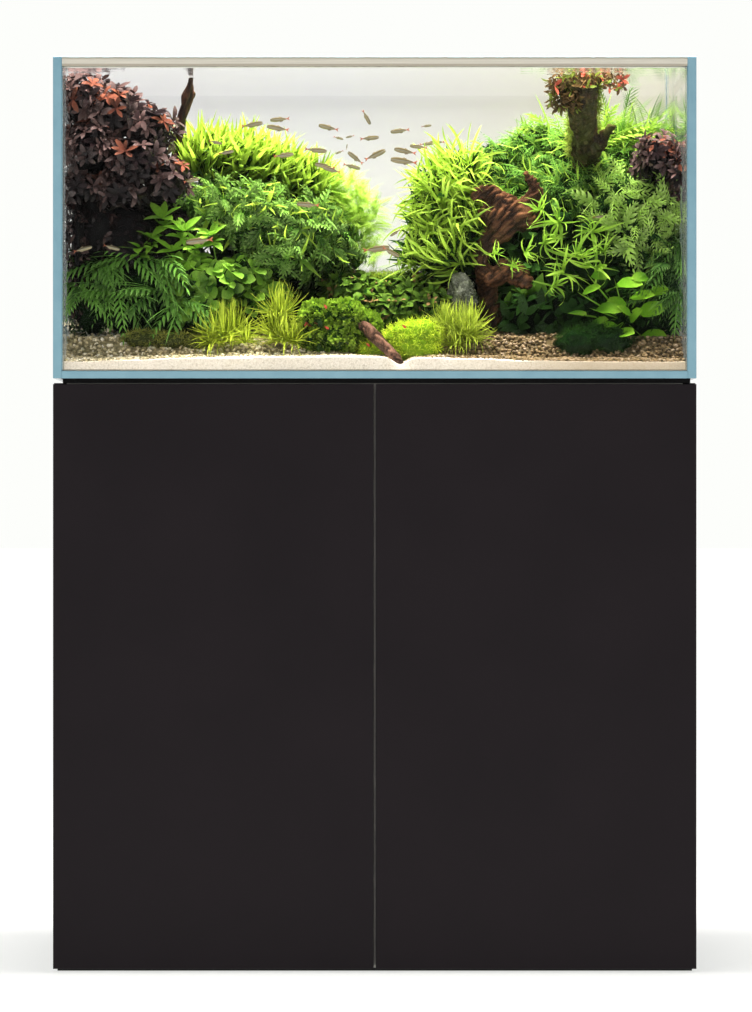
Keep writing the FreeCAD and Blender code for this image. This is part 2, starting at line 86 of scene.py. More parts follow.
# ---- materials ------------------------------------------------------------------------------------
class Graph:
    """A new material's node tree, with short ways to add and join nodes."""

    def __init__(self, name):
        self.material = bpy.data.materials.new(name)
        self.material.use_nodes = True
        self.tree = self.material.node_tree
        self.tree.nodes.clear()
        self.output = self.node("ShaderNodeOutputMaterial")

    def node(self, kind, settings=(), **inputs):
        """Inputs go by name, or by number as _0, _1 and so on, and are values or other nodes' outputs."""
        made = self.tree.nodes.new(kind)
        for name, value in dict(settings).items():
            setattr(made, name, value)
        for name, value in inputs.items():
            key = int(name[1:]) if name[1:].isdigit() else name.replace("_", " ")
            self.feed(made.inputs[key], value)
        return made

    def feed(self, socket, value):
        if isinstance(value, bpy.types.NodeSocket):
            self.tree.links.new(value, socket)
        elif isinstance(value, (tuple, list)) and len(value) == 3 and socket.type == "RGBA":
            socket.default_value = (*value, 1.0)
        else:
            socket.default_value = value

    def math(self, operation, first, second=0.0):
        return self.node("ShaderNodeMath", {"operation": operation}, _0=first, _1=second).outputs[0]

    def blend(self, factor, first, second, mode="MIX"):
        made = self.node("ShaderNodeMix", {"data_type": "RGBA", "blend_type": mode})
        self.feed(made.inputs[0], factor)
        self.feed(made.inputs[6], first)
        self.feed(made.inputs[7], second)
        return made.outputs[2]

    def place(self, stretch=(1, 1, 1)):
        coordinates = self.node("ShaderNodeTexCoord").outputs["Object"]
        return self.node("ShaderNodeMapping", _0=coordinates, Scale=stretch).outputs[0]

    def split_place(self):
        return self.node("ShaderNodeSeparateXYZ", _0=self.place()).outputs

    def split_normal(self):
        normal = self.node("ShaderNodeNewGeometry").outputs["True Normal"]
        return self.node("ShaderNodeSeparateXYZ", _0=normal).outputs

    def split_shade(self):
        """The three tones that gathered meshes carry at every point."""
        shade = self.node("ShaderNodeAttribute", {"attribute_name": "leaf"}).outputs["Color"]
        return self.node("ShaderNodeSeparateColor", _0=shade).outputs

    def noise(self, scale, detail=3.0, stretch=(1, 1, 1), roughness=0.55):
        made = self.node("ShaderNodeTexNoise", Vector=self.place(stretch), Scale=scale, Detail=detail,
                         Roughness=roughness)
        return made.outputs[0]

    def ramp(self, value, low=0.3, high=0.7, bottom=0.0, top=1.0):
        made = self.node("ShaderNodeMapRange", _0=value, _1=low, _2=high, _3=bottom, _4=top)
        return made.outputs[0]

    def bump(self, height, strength, distance):
        return self.node("ShaderNodeBump", Height=height, Strength=strength, Distance=distance).outputs[0]

    def surface(self, colour, roughness, **more):
        made = self.node("ShaderNodeBsdfPrincipled", Base_Color=colour, Roughness=roughness, **more)
        return made.outputs[0]

    def clear(self, colour):
        return self.node("ShaderNodeBsdfTransparent", Color=colour).outputs[0]

    def mix(self, factor, first, second):
        return self.node("ShaderNodeMixShader", _0=factor, _1=first, _2=second).outputs[0]

    def finish(self, shader):
        self.tree.links.new(shader, self.output.inputs[0])
        return self.material


def scaled(colour, share):
    return tuple(share * part for part in colour)


def mottled(name, dark, light, scale, roughness, metallic=0.0, specular=0.5, bump=0.3, grain=900.0,
            grain_depth=0.0002, stretch=(1, 1, 1), coat=0.0):
    """Two tones mixed by soft noise, roughness that varies with it, and a fine surface grain."""
    g = Graph(name)
    clouds = g.noise(scale, 4.0, stretch)
    fine = g.noise(grain, 2.0, stretch)
    return g.finish(g.surface(g.blend(g.ramp(clouds), dark, light), g.ramp(clouds, 0.3, 0.7, *roughness),
                              Metallic=metallic, Specular_IOR_Level=specular, Coat_Weight=coat,
                              Normal=g.bump(fine, bump, grain_depth)))


EDGE_DARK = (0.175, 0.315, 0.380)
EDGE_LIGHT = (0.155, 0.285, 0.350)
EDGE_STREAK = (0.30, 0.46, 0.53)
EDGE_TOP = (0.040, 0.075, 0.082)
HAZE = (0.560, 0.520, 0.440)
HAZE_LINE = (0.33, 0.29, 0.22)


def mirror_share(g, straight, grazing):
    """How much a pane mirrors: straight on, and at a grazing angle, alike from both sides."""
    facing = g.node("ShaderNodeLayerWeight", Blend=0.5).outputs["Facing"]
    return g.ramp(g.math("POWER", facing, 3.0), 0.0, 1.0, straight, grazing)


def rim_haze(g, height):
    """Streaky beige on the glass above the water, with a darker line along the rim and along the water.
    """
    streaks = g.noise(90.0, 4.0, (0.15, 0.15, 14.0))
    colour = g.blend(g.ramp(streaks), scaled(HAZE, 0.85), scaled(HAZE, 1.15))
    for line_z, reach in ((WATER_Z + 1.5 * MM, 2.2 * MM), (RIM_Z - 1.5 * MM, 2.5 * MM)):
        away = g.math("ABSOLUTE", g.math("SUBTRACT", height, line_z))
        colour = g.blend(g.ramp(away, 0.3 * reach, reach, 0.9, 0.0), colour, HAZE_LINE)
    return g.surface(colour, 0.5)


def pane_glass(name, thin_axis, straight, grazing, hazed=True):
    """Clear float glass: faces across the thin axis are see-through, its edges and arrises blue-green."""
    g = Graph(name)
    facing = g.split_normal()
    is_face = g.math("GREATER_THAN", g.math("ABSOLUTE", facing[thin_axis]), 0.9)
    height = g.split_place()[2]

    gloss = g.node("ShaderNodeBsdfGlossy", Color=(1, 1, 1), Roughness=0.02).outputs[0]
    face = g.mix(mirror_share(g, straight, grazing), g.clear((0.985, 0.990, 0.985)), gloss)
    if hazed:
        above = g.math("MULTIPLY", g.math("GREATER_THAN", height, WATER_Z), 0.8)
        face = g.mix(above, face, rim_haze(g, height))

    colour = g.blend(g.ramp(height, BED_Z, RIM_Z), EDGE_DARK, EDGE_LIGHT)
    colour = g.blend(g.ramp(g.noise(35.0), 0.35, 0.65, 0.0, 0.18), colour, EDGE_STREAK)
    colour = g.blend(g.math("GREATER_THAN", facing[2], 0.9), colour, EDGE_TOP)
    return g.finish(g.mix(is_face, g.surface(colour, 0.12, Specular_IOR_Level=0.5), face))


def water_skin():
    """The surface: clear from above, a rippled mirror when seen from below at a shallow angle, with a
    little painted glow in it, an emission that stands in for the lamp's light."""
    g = Graph("water_surface")
    bump = g.bump(g.noise(26.0, 3.0, (1.0, 2.2, 1.0)), 0.25, 0.004)
    fresnel = g.node("ShaderNodeFresnel", IOR=1.33, Normal=bump).outputs[0]
    gloss = g.node("ShaderNodeBsdfGlossy", Color=(0.97, 0.97, 0.97), Roughness=0.05,
                   Normal=bump).outputs[0]
    # painted light: a faint emission in the mirror part stands in for the lamp's light on the surface
    glow = g.node("ShaderNodeEmission", Color=(1.0, 0.97, 0.95), Strength=0.10).outputs[0]
    bright = g.node("ShaderNodeAddShader", _0=gloss, _1=glow).outputs[0]
    return g.finish(g.mix(fresnel, g.clear((0.97, 0.99, 0.99)), bright))


def film_with_painted_backlight():
    """Diffusing film that glows by emission, a painted backlight: bright in the middle, greyer at the top
    by painted shade, warmer at the right.
    """
    g = Graph("film_with_painted_backlight")
    across, _, height = g.split_place()
    # painted light: the glow is an emission standing in for light from behind, with painted shade near
    # the top
    glow = g.blend(g.ramp(height, WATER_Z - 0.12, WATER_Z - 0.03), (0.92, 0.89, 0.87),
                   (0.74, 0.715, 0.73))
    glow = g.blend(g.ramp(across, -0.05, 0.45), glow, (0.80, 0.73, 0.58))
    glow = g.blend(g.ramp(g.noise(900.0, 1.0), 0.3, 0.7, 0.0, 0.05), glow, (0.55, 0.55, 0.55))
    return g.finish(g.surface((0.16, 0.16, 0.16), 0.7, Emission_Color=glow, Emission_Strength=0.87))


def leaf_material(name, deep, bright, tip, glow=0.25, roughness=0.42):
    """A leaf: deep to bright by its own tone and by how exposed it is, which paints light and shade,
    paler to its tip, and lit through from behind."""
    g = Graph(name)
    own, along, exposed = g.split_shade()
    amount = g.math("ADD", g.math("MULTIPLY", own, 0.5), g.math("MULTIPLY", exposed, 0.65))
    # painted light and shade: exposed leaves take the bright colour, shaded ones the deep colour
    colour = g.blend(g.ramp(amount, 0.1, 1.0), deep, bright)
    colour = g.blend(g.math("MULTIPLY", g.math("POWER", along, 2.0), 0.45), colour, tip)
    colour = g.blend(g.ramp(g.noise(420.0, 2.0), 0.35, 0.75, 0.0, 0.35), colour, deep)
    solid = g.surface(colour, roughness, Specular_IOR_Level=0.22,
                      Normal=g.bump(g.noise(700.0, 2.0), 0.25, 0.0006))
    through = g.node("ShaderNodeBsdfTranslucent", Color=colour).outputs[0]
    return g.finish(g.mix(glow, solid, through))


def wood_material(name, dark, light, grain_axis=(0.0, 0.0, 1.0), moss=0.0, foot_shade=0.0):
    """Weathered wood: fine grain along one axis, painted shade in its grooves and hollows, dark patches,
    moss where asked. The last argument is how much painted shade blackens it near the ground."""
    g = Graph(name)
    grain = g.noise(95.0, 6.0, tuple(1.0 - 0.8 * abs(part) for part in grain_axis), 0.7)
    broad = g.noise(14.0, 3.0)
    ridge, hollow, _ = g.split_shade()
    height = g.split_place()[2]
    colour = g.blend(g.ramp(grain, 0.38, 0.66), dark, light)
    colour = g.blend(g.ramp(broad, 0.45, 0.75, 0.0, 0.6), colour, dark)
    # painted shade: near black in the grooves and hollows, and blackened near the ground
    colour = g.blend(g.ramp(ridge, 0.05, 0.55, 0.92, 0.0), colour, scaled(dark, 0.35))
    colour = g.blend(g.ramp(hollow, 0.2, 0.5, 0.7, 0.0), colour, dark)
    colour = g.blend(g.ramp(height, BED_Z + 0.06, BED_Z + 0.13, foot_shade, 0.0), colour, scaled(dark, 0.3))
    if moss:
        colour = g.blend(g.ramp(g.noise(38.0, 4.0), 0.42, 0.6, 0.0, moss), colour, (0.060, 0.070, 0.012))
    return g.finish(g.surface(colour, g.ramp(grain, 0.3, 0.7, 0.75, 0.45), Specular_IOR_Level=0.3,
                              Normal=g.bump(grain, 0.8, 0.003)))


def stone_material():
    g = Graph("worn_stone")
    coarse = g.noise(30.0, 5.0)
    colour = g.blend(g.ramp(coarse, 0.35, 0.65), (0.018, 0.022, 0.010), (0.13, 0.135, 0.095))
    colour = g.blend(g.ramp(g.noise(420.0, 2.0), 0.5, 0.7, 0.0, 0.5), colour, (0.34, 0.34, 0.28))
    return g.finish(g.surface(colour, 0.18, Normal=g.bump(coarse, 0.5, 0.002)))


def sand_material():
    """Pale grains with darker specks, browner at the right and along the foot."""
    g = Graph("white_sand")
    grains = g.noise(750.0, 2.0)
    across, _, height = g.split_place()
    colour = g.blend(g.ramp(grains), (0.57, 0.475, 0.375), (0.785, 0.71, 0.63))
    colour = g.blend(g.ramp(g.noise(330.0, 2.0), 0.54, 0.66, 0.0, 0.5), colour, (0.36, 0.28, 0.20))
    patches = g.noise(18.0, 3.0, (1.0, 1.0, 3.0))
    colour = g.blend(g.ramp(patches, 0.5, 0.75, 0.0, 0.35), colour, (0.66, 0.55, 0.40))
    colour = g.blend(g.ramp(across, 0.10, 0.30, 0.0, 0.78), colour, (0.35, 0.27, 0.18))
    colour = g.blend(g.ramp(height, BED_Z + 1.5 * MM, BED_Z + 4 * MM, 0.7, 0.0), colour,
                     (0.30, 0.20, 0.12))
    return g.finish(g.surface(colour, 0.85, Normal=g.bump(grains, 0.6, 0.0008)))


def pebble_material():
    """Each pebble takes its own tone, from olive brown to cream, and is darker at the right."""
    g = Graph("river_gravel")
    own = g.split_shade()[0]
    colour = g.blend(g.ramp(own, 0.1, 0.75), (0.15, 0.125, 0.055), (0.84, 0.69, 0.42))
    colour = g.blend(g.ramp(own, 0.7, 1.0), colour, (1.0, 0.92, 0.78))
    stones = g.node("ShaderNodeTexVoronoi", Vector=g.place(), Scale=260.0).outputs["Color"]
    stone = g.node("ShaderNodeSeparateColor", _0=stones).outputs[0]
    colour = g.blend(g.ramp(stone, 0.35, 0.9, 0.0, 0.55), colour, (0.075, 0.065, 0.030))
    colour = g.blend(g.ramp(g.noise(500.0), 0.4, 0.7, 0.0, 0.4), colour, (0.09, 0.08, 0.04))
    across = g.split_place()[0]
    colour = g.blend(g.ramp(across, -0.05, 0.12), colour, (0.34, 0.275, 0.225), "MULTIPLY")
    return g.finish(g.surface(colour, 0.45, Normal=g.bump(g.noise(1100.0), 0.3, 0.0004)))


def fish_material():
    """Silvery flank with a brown back and a pale blue stripe; fins and tail have their own material."""
    g = Graph("fish_body")
    _, along, up = g.split_shade()
    colour = g.blend(g.ramp(up, 0.35, 0.75), (0.30, 0.24, 0.14), (0.085, 0.065, 0.028))
    stripe = g.math("MULTIPLY", g.ramp(up, 0.42, 0.5), g.ramp(up, 0.6, 0.52))
    colour = g.blend(g.math("MULTIPLY", stripe, 0.6), colour, (0.34, 0.38, 0.35))
    colour = g.blend(g.ramp(along, 0.85, 1.0), colour, (0.38, 0.12, 0.06))
    scales = g.bump(g.noise(1400.0, 1.0), 0.3, 0.0003)
    return g.finish(g.surface(colour, 0.3, Metallic=0.15, Normal=scales))


def board_with_painted_highlight():
    """Dark board whose front faces are light grey, a painted highlight that shows through the gaps round
    the doors as the bright line along the door edges.
    """
    g = Graph("board_with_painted_highlight")
    clouds = g.noise(30.0, 3.0)
    board = g.blend(g.ramp(clouds), (0.016, 0.013, 0.015), (0.026, 0.022, 0.024))
    seam_highlight = g.blend(g.ramp(clouds), (0.55, 0.53, 0.49), (0.68, 0.66, 0.61))
    # painted highlight: front faces go light grey for the light caught along the door edges
    colour = g.blend(g.math("LESS_THAN", g.split_normal()[1], -0.7), board, seam_highlight)
    return g.finish(g.surface(colour, g.ramp(clouds, 0.3, 0.7, 0.45, 0.6),
                              Normal=g.bump(g.noise(900.0), 0.2, 0.0002)))


def rail_material():
    """Black plastic rail with a grey line along its top."""
    g = Graph("base_rail")
    clouds = g.noise(30.0, 3.0)
    black = g.blend(g.ramp(clouds), (0.010, 0.010, 0.010), (0.022, 0.022, 0.022))
    colour = g.blend(g.math("GREATER_THAN", g.split_place()[2], 3.6 * MM), black, (0.10, 0.10, 0.10))
    return g.finish(g.surface(colour, g.ramp(clouds, 0.3, 0.7, 0.5, 0.7), Specular_IOR_Level=0.2))


def clear_silicone():
    g = Graph("silicone")
    clouds = g.noise(120.0)
    solid = g.surface(g.blend(g.ramp(clouds), (0.34, 0.36, 0.35), (0.44, 0.46, 0.45)),
                      g.ramp(clouds, 0.3, 0.7, 0.25, 0.45))
    return g.finish(g.mix(0.14, g.clear((0.9, 0.92, 0.91)), solid))


def finish_cad_nodes():
    """Materials for the CAD pieces that show as they are."""
    board = mottled("dark_lacquered_board", (0.0082, 0.0060, 0.0074), (0.0108, 0.0080, 0.0096), 6.0,
                    (0.52, 0.62), specular=0.12, bump=0.12, grain=1600.0, grain_depth=0.0001)
    inner = mottled("inner_board", (0.016, 0.013, 0.015), (0.026, 0.022, 0.024), 9.0, (0.45, 0.6),
                    bump=0.2)
    foam = mottled("foam_mat", (0.006, 0.006, 0.006), (0.016, 0.016, 0.016), 500.0, (0.85, 0.95),
                   specular=0.1, bump=0.8, grain=1500.0, grain_depth=0.0006)
    steel = mottled("plated_steel", (0.50, 0.50, 0.48), (0.68, 0.68, 0.66), 40.0, (0.22, 0.38),
                    metallic=1.0, bump=0.15, stretch=(1, 6, 1))
    screw = mottled("screw_steel", (0.42, 0.41, 0.38), (0.62, 0.60, 0.55), 120.0, (0.28, 0.45),
                    metallic=1.0)
    beech = mottled("dowel_beech", (0.42, 0.26, 0.13), (0.62, 0.44, 0.25), 60.0, (0.6, 0.8),
                    stretch=(1, 1, 0.2))
    grey = mottled("latch_grey", (0.055, 0.055, 0.058), (0.085, 0.085, 0.088), 50.0, (0.4, 0.55))
    white = mottled("latch_white", (0.60, 0.60, 0.58), (0.72, 0.72, 0.70), 50.0, (0.35, 0.5))
    buffer = mottled("clear_buffer", (0.50, 0.50, 0.47), (0.66, 0.66, 0.63), 90.0, (0.25, 0.4), coat=0.3)
    for_nodes = {
        board: ["door_left", "door_right", "side_panel_left", "side_panel_right", "back_panel"],
        inner: ["shelf"],
        board_with_painted_highlight(): ["divider_panel", "top_panel", "bottom_panel"],
        rail_material(): ["base_rails"],
        foam: ["levelling_mat"],
        steel: ["hinge_arms", "hinge_plates", "hinge_cups_left", "hinge_cups_right"],
        screw: ["hinge_plate_screws", "hinge_cup_screws_left", "hinge_cup_screws_right", "back_screws",
                "shelf_pins", "cam_bolts", "cam_locks"],
        beech: ["dowels"],
        grey: ["latch_housings"],
        white: ["latch_plunger_left", "latch_plunger_right"],
        buffer: ["door_buffers_left", "door_buffers_right"],
        clear_silicone(): ["silicone_corner_beads", "silicone_foot_beads"],
        film_with_painted_backlight(): ["background_film"],
        pane_glass("end_glass", 0, 0.01, 1.0): ["glass_left", "glass_right"],
        pane_glass("front_glass", 1, 0.003, 0.5): ["glass_front"],
        pane_glass("back_glass", 1, 0.02, 0.5, hazed=False): ["glass_back"],
        pane_glass("base_glass", 2, 0.02, 0.5, hazed=False): ["glass_base"],
    }
    for material, names in for_nodes.items():
        for name in names:
            for slot in NODES[name].material_slots:
                slot.material = material


# ---- mesh gathering -------------------------------------------------------------------------------
class Template:
    """A small mesh of quads that is copied many times, with how far along the leaf each point lies."""

    def __init__(self, points, quads, along, material=0):
        self.points = np.asarray(points, float)
        self.quads = np.asarray(quads, int)
        self.along = np.asarray(along, float)
        self.material = material


def outline_ovate(t):
    return math.sin(math.pi * t ** 0.8) ** 0.8


def outline_lance(t):
    return math.sin(math.pi * min(1.0, 0.04 + t * 0.96) ** 0.62) ** 1.1


def outline_round(t):
    return math.sqrt(max(0.0, 1 - (2 * t - 1) ** 2)) ** 0.8


def outline_spoon(t):
    return max(0.12, math.sin(math.pi * t ** 1.35)) ** 0.75


def outline_ribbon(t):
    return min(1.0, 0.35 + 3 * t) * (1 - t ** 5) ** 0.7


def blade(outline, width, sections=4, droop=0.6, fold=0.25, twist=0.0, material=0):
    """A unit-length leaf along +X that bends down by droop radians and folds up along its midrib."""
    points, along, quads = [], [], []
    x = z = 0.0
    for i in range(sections + 1):
        t = i / sections
        half = max(0.5 * width * outline(t), 0.03 * width)
        roll = twist * t
        for side in (-1, 0, 1):
            y, up = side * half, abs(side) * half * fold
            points.append((x, y * math.cos(roll) - up * math.sin(roll), z + y * math.sin(roll) + up))
            along.append(t)
        bend = droop * (t + 0.5 / sections)
        x += math.cos(bend) / sections
        z -= math.sin(bend) / sections
    for i in range(sections):
        for j in range(2):
            a = 3 * i + j
            quads.append((a, a + 3, a + 4, a + 1))
    return Template(points, quads, along, material)


def frame_of(along, face):
    """Rows are the leaf's own axes: along it, across it, and out of its face."""
    along = along.normalized()
    across = face.cross(along)
    if across.length < 1e-6:
        across = along.orthogonal()
    across.normalize()
    return np.array((along, across, along.cross(across)))


def compound(parts):
    """One template from several, each placed by (template, location, along, face, size)."""
    points, quads, along, start = [], [], [], 0
    for template, at, direction, face, size in parts:
        axes = frame_of(Vector(direction), Vector(face))
        points.append(template.points @ axes * size + np.array(at))
        quads.append(template.quads + start)
        along.append(template.along)
        start += len(template.points)
    return Template(np.concatenate(points), np.concatenate(quads), np.concatenate(along))


def pinnate(pairs, pinna, rachis, pinna_length, droop=0.5, sweep=1.0, start=0.12, narrow=0.85):
    """A frond: leaflets in pairs along a bending rachis, longest below the middle."""
    parts = [(rachis, (0, 0, 0), (1, 0, 0), (0, 0, 1), 1.0)]
    for i in range(pairs):
        t = start + (1 - start) * i / pairs
        bend = droop * t * 0.5
        at = (t * math.cos(bend), 0, -t * math.sin(bend))
        length = pinna_length * (1 - narrow * ((t - 0.3) / 0.7) ** 2 if t > 0.3 else 0.55 + 1.5 * t)
        for side in (-1, 1):
            aim = (math.cos(sweep), side * math.sin(sweep), -0.25 - bend)
            parts.append((pinna, at, aim, (0.1, 0, 1), length))
    parts.append((pinna, (math.cos(droop / 2), 0, -math.sin(droop / 2)), (1, 0, -droop), (0, 0, 1),
                  pinna_length * 0.5))
    return compound(parts)


def ball(cells):
    """A closed sphere of quads, from a cube with its faces divided into cells."""
    index, points, quads = {}, [], []
    for axis in range(3):
        for sign in (-1, 1):
            for i in range(cells):
                for j in range(cells):
                    corners = []
                    for u, v in ((i, j), (i + 1, j), (i + 1, j + 1), (i, j + 1)):
                        p = [0.0, 0.0, 0.0]
                        p[axis] = sign
                        p[(axis + 1) % 3] = 2 * u / cells - 1
                        p[(axis + 2) % 3] = 2 * v / cells - 1
                        key = tuple(round(c, 6) for c in p)
                        if key not in index:
                            index[key] = len(points)
                            points.append(tuple(Vector(p).normalized()))
                        corners.append(index[key])
                    quads.append(corners if sign > 0 else corners[::-1])
    return Template(points, quads, [0.5] * len(points))


def tube_faces(rings, around):
    """Quads between rings + 1 rings of points, and strips of quads that close both ends."""
    quads = []
    for i in range(rings):
        for j in range(around):
            k = (j + 1) % around
            quads.append((i * around + j, i * around + k, (i + 1) * around + k, (i + 1) * around + j))
    for base, flip in ((0, False), (rings * around, True)):
        for j in range(around // 2 - 1):
            cap = (base + j, base + around - 1 - j, base + around - 2 - j, base + j + 1)
            quads.append(cap[::-1] if flip else cap)
    return quads


def grid_faces(columns, rows):
    quads = []
    for j in range(rows - 1):
        for i in range(columns - 1):
            a = j * columns + i
            quads.append((a, a + 1, a + columns + 1, a + columns))
    return quads


class Thicket:
    """Gathers copies of templates and makes one mesh piece of them, kept inside the water. Every point
    carries three tones in its "leaf" colour: its copy's own, how far along the leaf, how exposed."""

    def __init__(self):
        self.copies = {}
        self.parts = []

    def add(self, template, at, axes, size, own, exposed, material=0):
        self.copies.setdefault((id(template), material), (template, []))[1].append(
            (*at, *np.ravel(axes), size, own, exposed))

    def add_mesh(self, points, quads, shade, material):
        self.parts.append((np.asarray(points, float), np.asarray(quads, int), np.asarray(shade, float),
                           material))

    def lump(self, centre, radii, material, own=0.5, exposed=0.3, rough=0.12, cells=9, seed=0.0):
        """A closed noisy ellipsoid."""
        template = ball(cells)
        points = template.points * np.array(radii)
        for i, point in enumerate(template.points):
            offset = noise.fractal(Vector(point) * 2.2 + Vector((seed, seed * 2, 7)), 0.8, 2.0, 3)
            points[i] *= 1 + rough * offset
        shade = np.tile((own, 0.0, exposed, 1.0), (len(points), 1))
        self.add_mesh(points + np.array(centre), template.quads, shade, material)

    def gather(self):
        for (_, material), (template, rows) in self.copies.items():
            rows = np.array(rows)
            axes = rows[:, 3:12].reshape(-1, 3, 3) * rows[:, 12, None, None]
            points = np.einsum("pk,nkj->npj", template.points, axes) + rows[:, None, 0:3]
            count, size = len(rows), len(template.points)
            quads = template.quads[None] + (np.arange(count) * size)[:, None, None]
            shade = np.ones((count, size, 4))
            shade[:, :, 0] = rows[:, 13, None]
            shade[:, :, 1] = template.along[None]
            shade[:, :, 2] = rows[:, 14, None]
            self.add_mesh(points.reshape(-1, 3), quads.reshape(-1, 4), shade.reshape(-1, 4), material)
        self.copies = {}

    def piece(self, name, materials, slot, nodes=(), clip=True):
        self.gather()
        start, points, quads, shades, indices = 0, [], [], [], []
        for part_points, part_quads, shade, material in self.parts:
            points.append(part_points)
            quads.append(part_quads + start)
            shades.append(shade)
            indices.append(np.full(len(part_quads), material))
            start += len(part_points)
        points, quads = np.concatenate(points), np.concatenate(quads)
        if clip:
            points = inside_tank(points)
        mesh = bpy.data.meshes.new(name)
        mesh.vertices.add(len(points))
        mesh.vertices.foreach_set("co", points.astype(np.float32).ravel())
        mesh.loops.add(quads.size)
        mesh.loops.foreach_set("vertex_index", quads.astype(np.int32).ravel())
        mesh.polygons.add(len(quads))
        mesh.polygons.foreach_set("loop_start", np.arange(0, quads.size, 4, dtype=np.int32))
        mesh.polygons.foreach_set("material_index", np.concatenate(indices).astype(np.int32))
        mesh.polygons.foreach_set("use_smooth", np.ones(len(quads), bool))
        tone = mesh.attributes.new("leaf", "FLOAT_COLOR", "POINT")
        tone.data.foreach_set("color", np.concatenate(shades).astype(np.float32).ravel())
        mesh.update(calc_edges=True)
        for material in materials:
            mesh.materials.append(material)
        piece = bpy.data.objects.new(name, mesh)
        bpy.context.scene.collection.objects.link(piece)
        settle(piece, nodes)
        return piece


def inside_tank(points, margin=1.5 * MM):
    """Leaves that would poke through a pane or the water line lie against it instead."""
    low = np.array((-INNER_X + margin, INNER_FRONT_Y + margin, BED_Z + margin))
    high = np.array((INNER_X - margin, INNER_REAR_Y - margin, WATER_Z - margin))
    return np.clip(points, low, high)


def settle(piece, nodes=()):
    """Rides on the tank and stands for CAD nodes."""
    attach(piece, ROOT)
    if nodes:
        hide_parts(*nodes)


# ---- planting kit ---------------------------------------------------------------------------------
UP = Vector((0, 0, 1))
TO_VIEWER = Vector((0, -1, 0))


class Lobe:
    """One rounded part of a bush, as seen: x, z and depth of its centre, and three radii, in mm."""

    def __init__(self, x, z, depth, rx, rz, ry):
        self.centre = seen(x, z, depth)
        self.radii = Vector((rx, ry, rz)) * MM

    def holds(self, point, share=0.9):
        d = point - self.centre
        return sum((d[i] / self.radii[i]) ** 2 for i in range(3)) < share ** 2

    def skin(self, spacing, rng, share=1.0):
        """Points spread evenly over the surface with their outward directions; fewer behind and below."""
        radii = self.radii * share
        a, b, c = radii
        p = 1.6
        area = 4 * math.pi * (((a * b) ** p + (a * c) ** p + (b * c) ** p) / 3) ** (1 / p)
        count = int(area / (spacing * MM) ** 2)
        turn = math.pi * (3 - math.sqrt(5))
        for i in range(count):
            z = 1 - 2 * (i + 0.5) / count
            r = math.sqrt(1 - z * z)
            d = Vector((r * math.cos(turn * i), r * math.sin(turn * i), z))
            keep = 1.0 if d.y < 0.15 else 0.45
            if d.z < -0.6:
                keep *= 0.4
            if rng.random() > keep:
                continue
            d = (d + Vector([rng.uniform(-0.12, 0.12) for _ in range(3)])).normalized()
            point = self.centre + Vector([d[i] * radii[i] for i in range(3)])
            outward = Vector([d[i] / radii[i] for i in range(3)]).normalized()
            yield point, outward


def lobes(*rows):
    return [Lobe(*row) for row in rows]


def bush_points(group, spacing, rng, low_z=0.0, share=1.0):
    """Skin points of a group of lobes that are outside all the others and above the ground."""
    for lobe in group:
        for point, outward in lobe.skin(spacing, rng, share):
            if any(other.holds(point, 0.9 * share) for other in group if other is not lobe):
                continue
            if point.z < BED_Z + low_z * MM or abs(point.x) > INNER_X:
                continue
            if not INNER_FRONT_Y < point.y < INNER_REAR_Y:
                continue
            yield point, outward


def exposure(point, outward, low, high):
    """0 in the shade at the foot, 1 at the sunlit top, for points between two heights in mm."""
    rise = (point.z - BED_Z) / MM
    return min(1.0, max(0.0, 0.55 * (rise - low) / (high - low) + 0.45 * max(0.0, outward.z)))


GOLDEN_TURN = 2.399963                            # radians from one leaf to the next round a stem


def rosette(thicket, template, at, growth, count, size, open_angle, rng, exposed, material=0,
            spread=0.25):
    """Leaves round one growing tip, opened from the growth direction by open_angle."""
    side = growth.orthogonal().normalized()
    start = rng.uniform(0, 2 * math.pi)
    for i in range(count):
        turn = start + GOLDEN_TURN * i
        opened = open_angle * (1 - 0.4 * i / count) + rng.uniform(-spread, spread)
        radial = Matrix.Rotation(turn, 3, growth) @ side
        along = growth * math.cos(opened) + radial * math.sin(opened)
        face = growth * math.sin(opened) - radial * math.cos(opened)
        length = size * MM * rng.uniform(0.75, 1.15)
        thicket.add(template, at, frame_of(along, face), length, rng.random(), exposed, material)


def clear_of_ends(centre, radii):
    """A lump's centre and radii, drawn in so that leaves fit between it and the end pane."""
    inner = abs(centre.x) - radii.x
    outer = min(abs(centre.x) + radii.x, INNER_X - 7 * MM)
    drawn_in = Vector((math.copysign((outer + inner) / 2, centre.x), centre.y, centre.z))
    return drawn_in, Vector(((outer - inner) / 2, radii.y, radii.z))


def core(thicket, group, material, share=0.86, rough=0.18):
    """Dark lumps that close a bush off behind its leaves, painted shade for the inside of the bush."""
    for number, lobe in enumerate(group):
        thicket.lump(*clear_of_ends(lobe.centre, lobe.radii * share), material, own=0.1, exposed=0.0,
                     rough=rough, seed=number * 3.7)


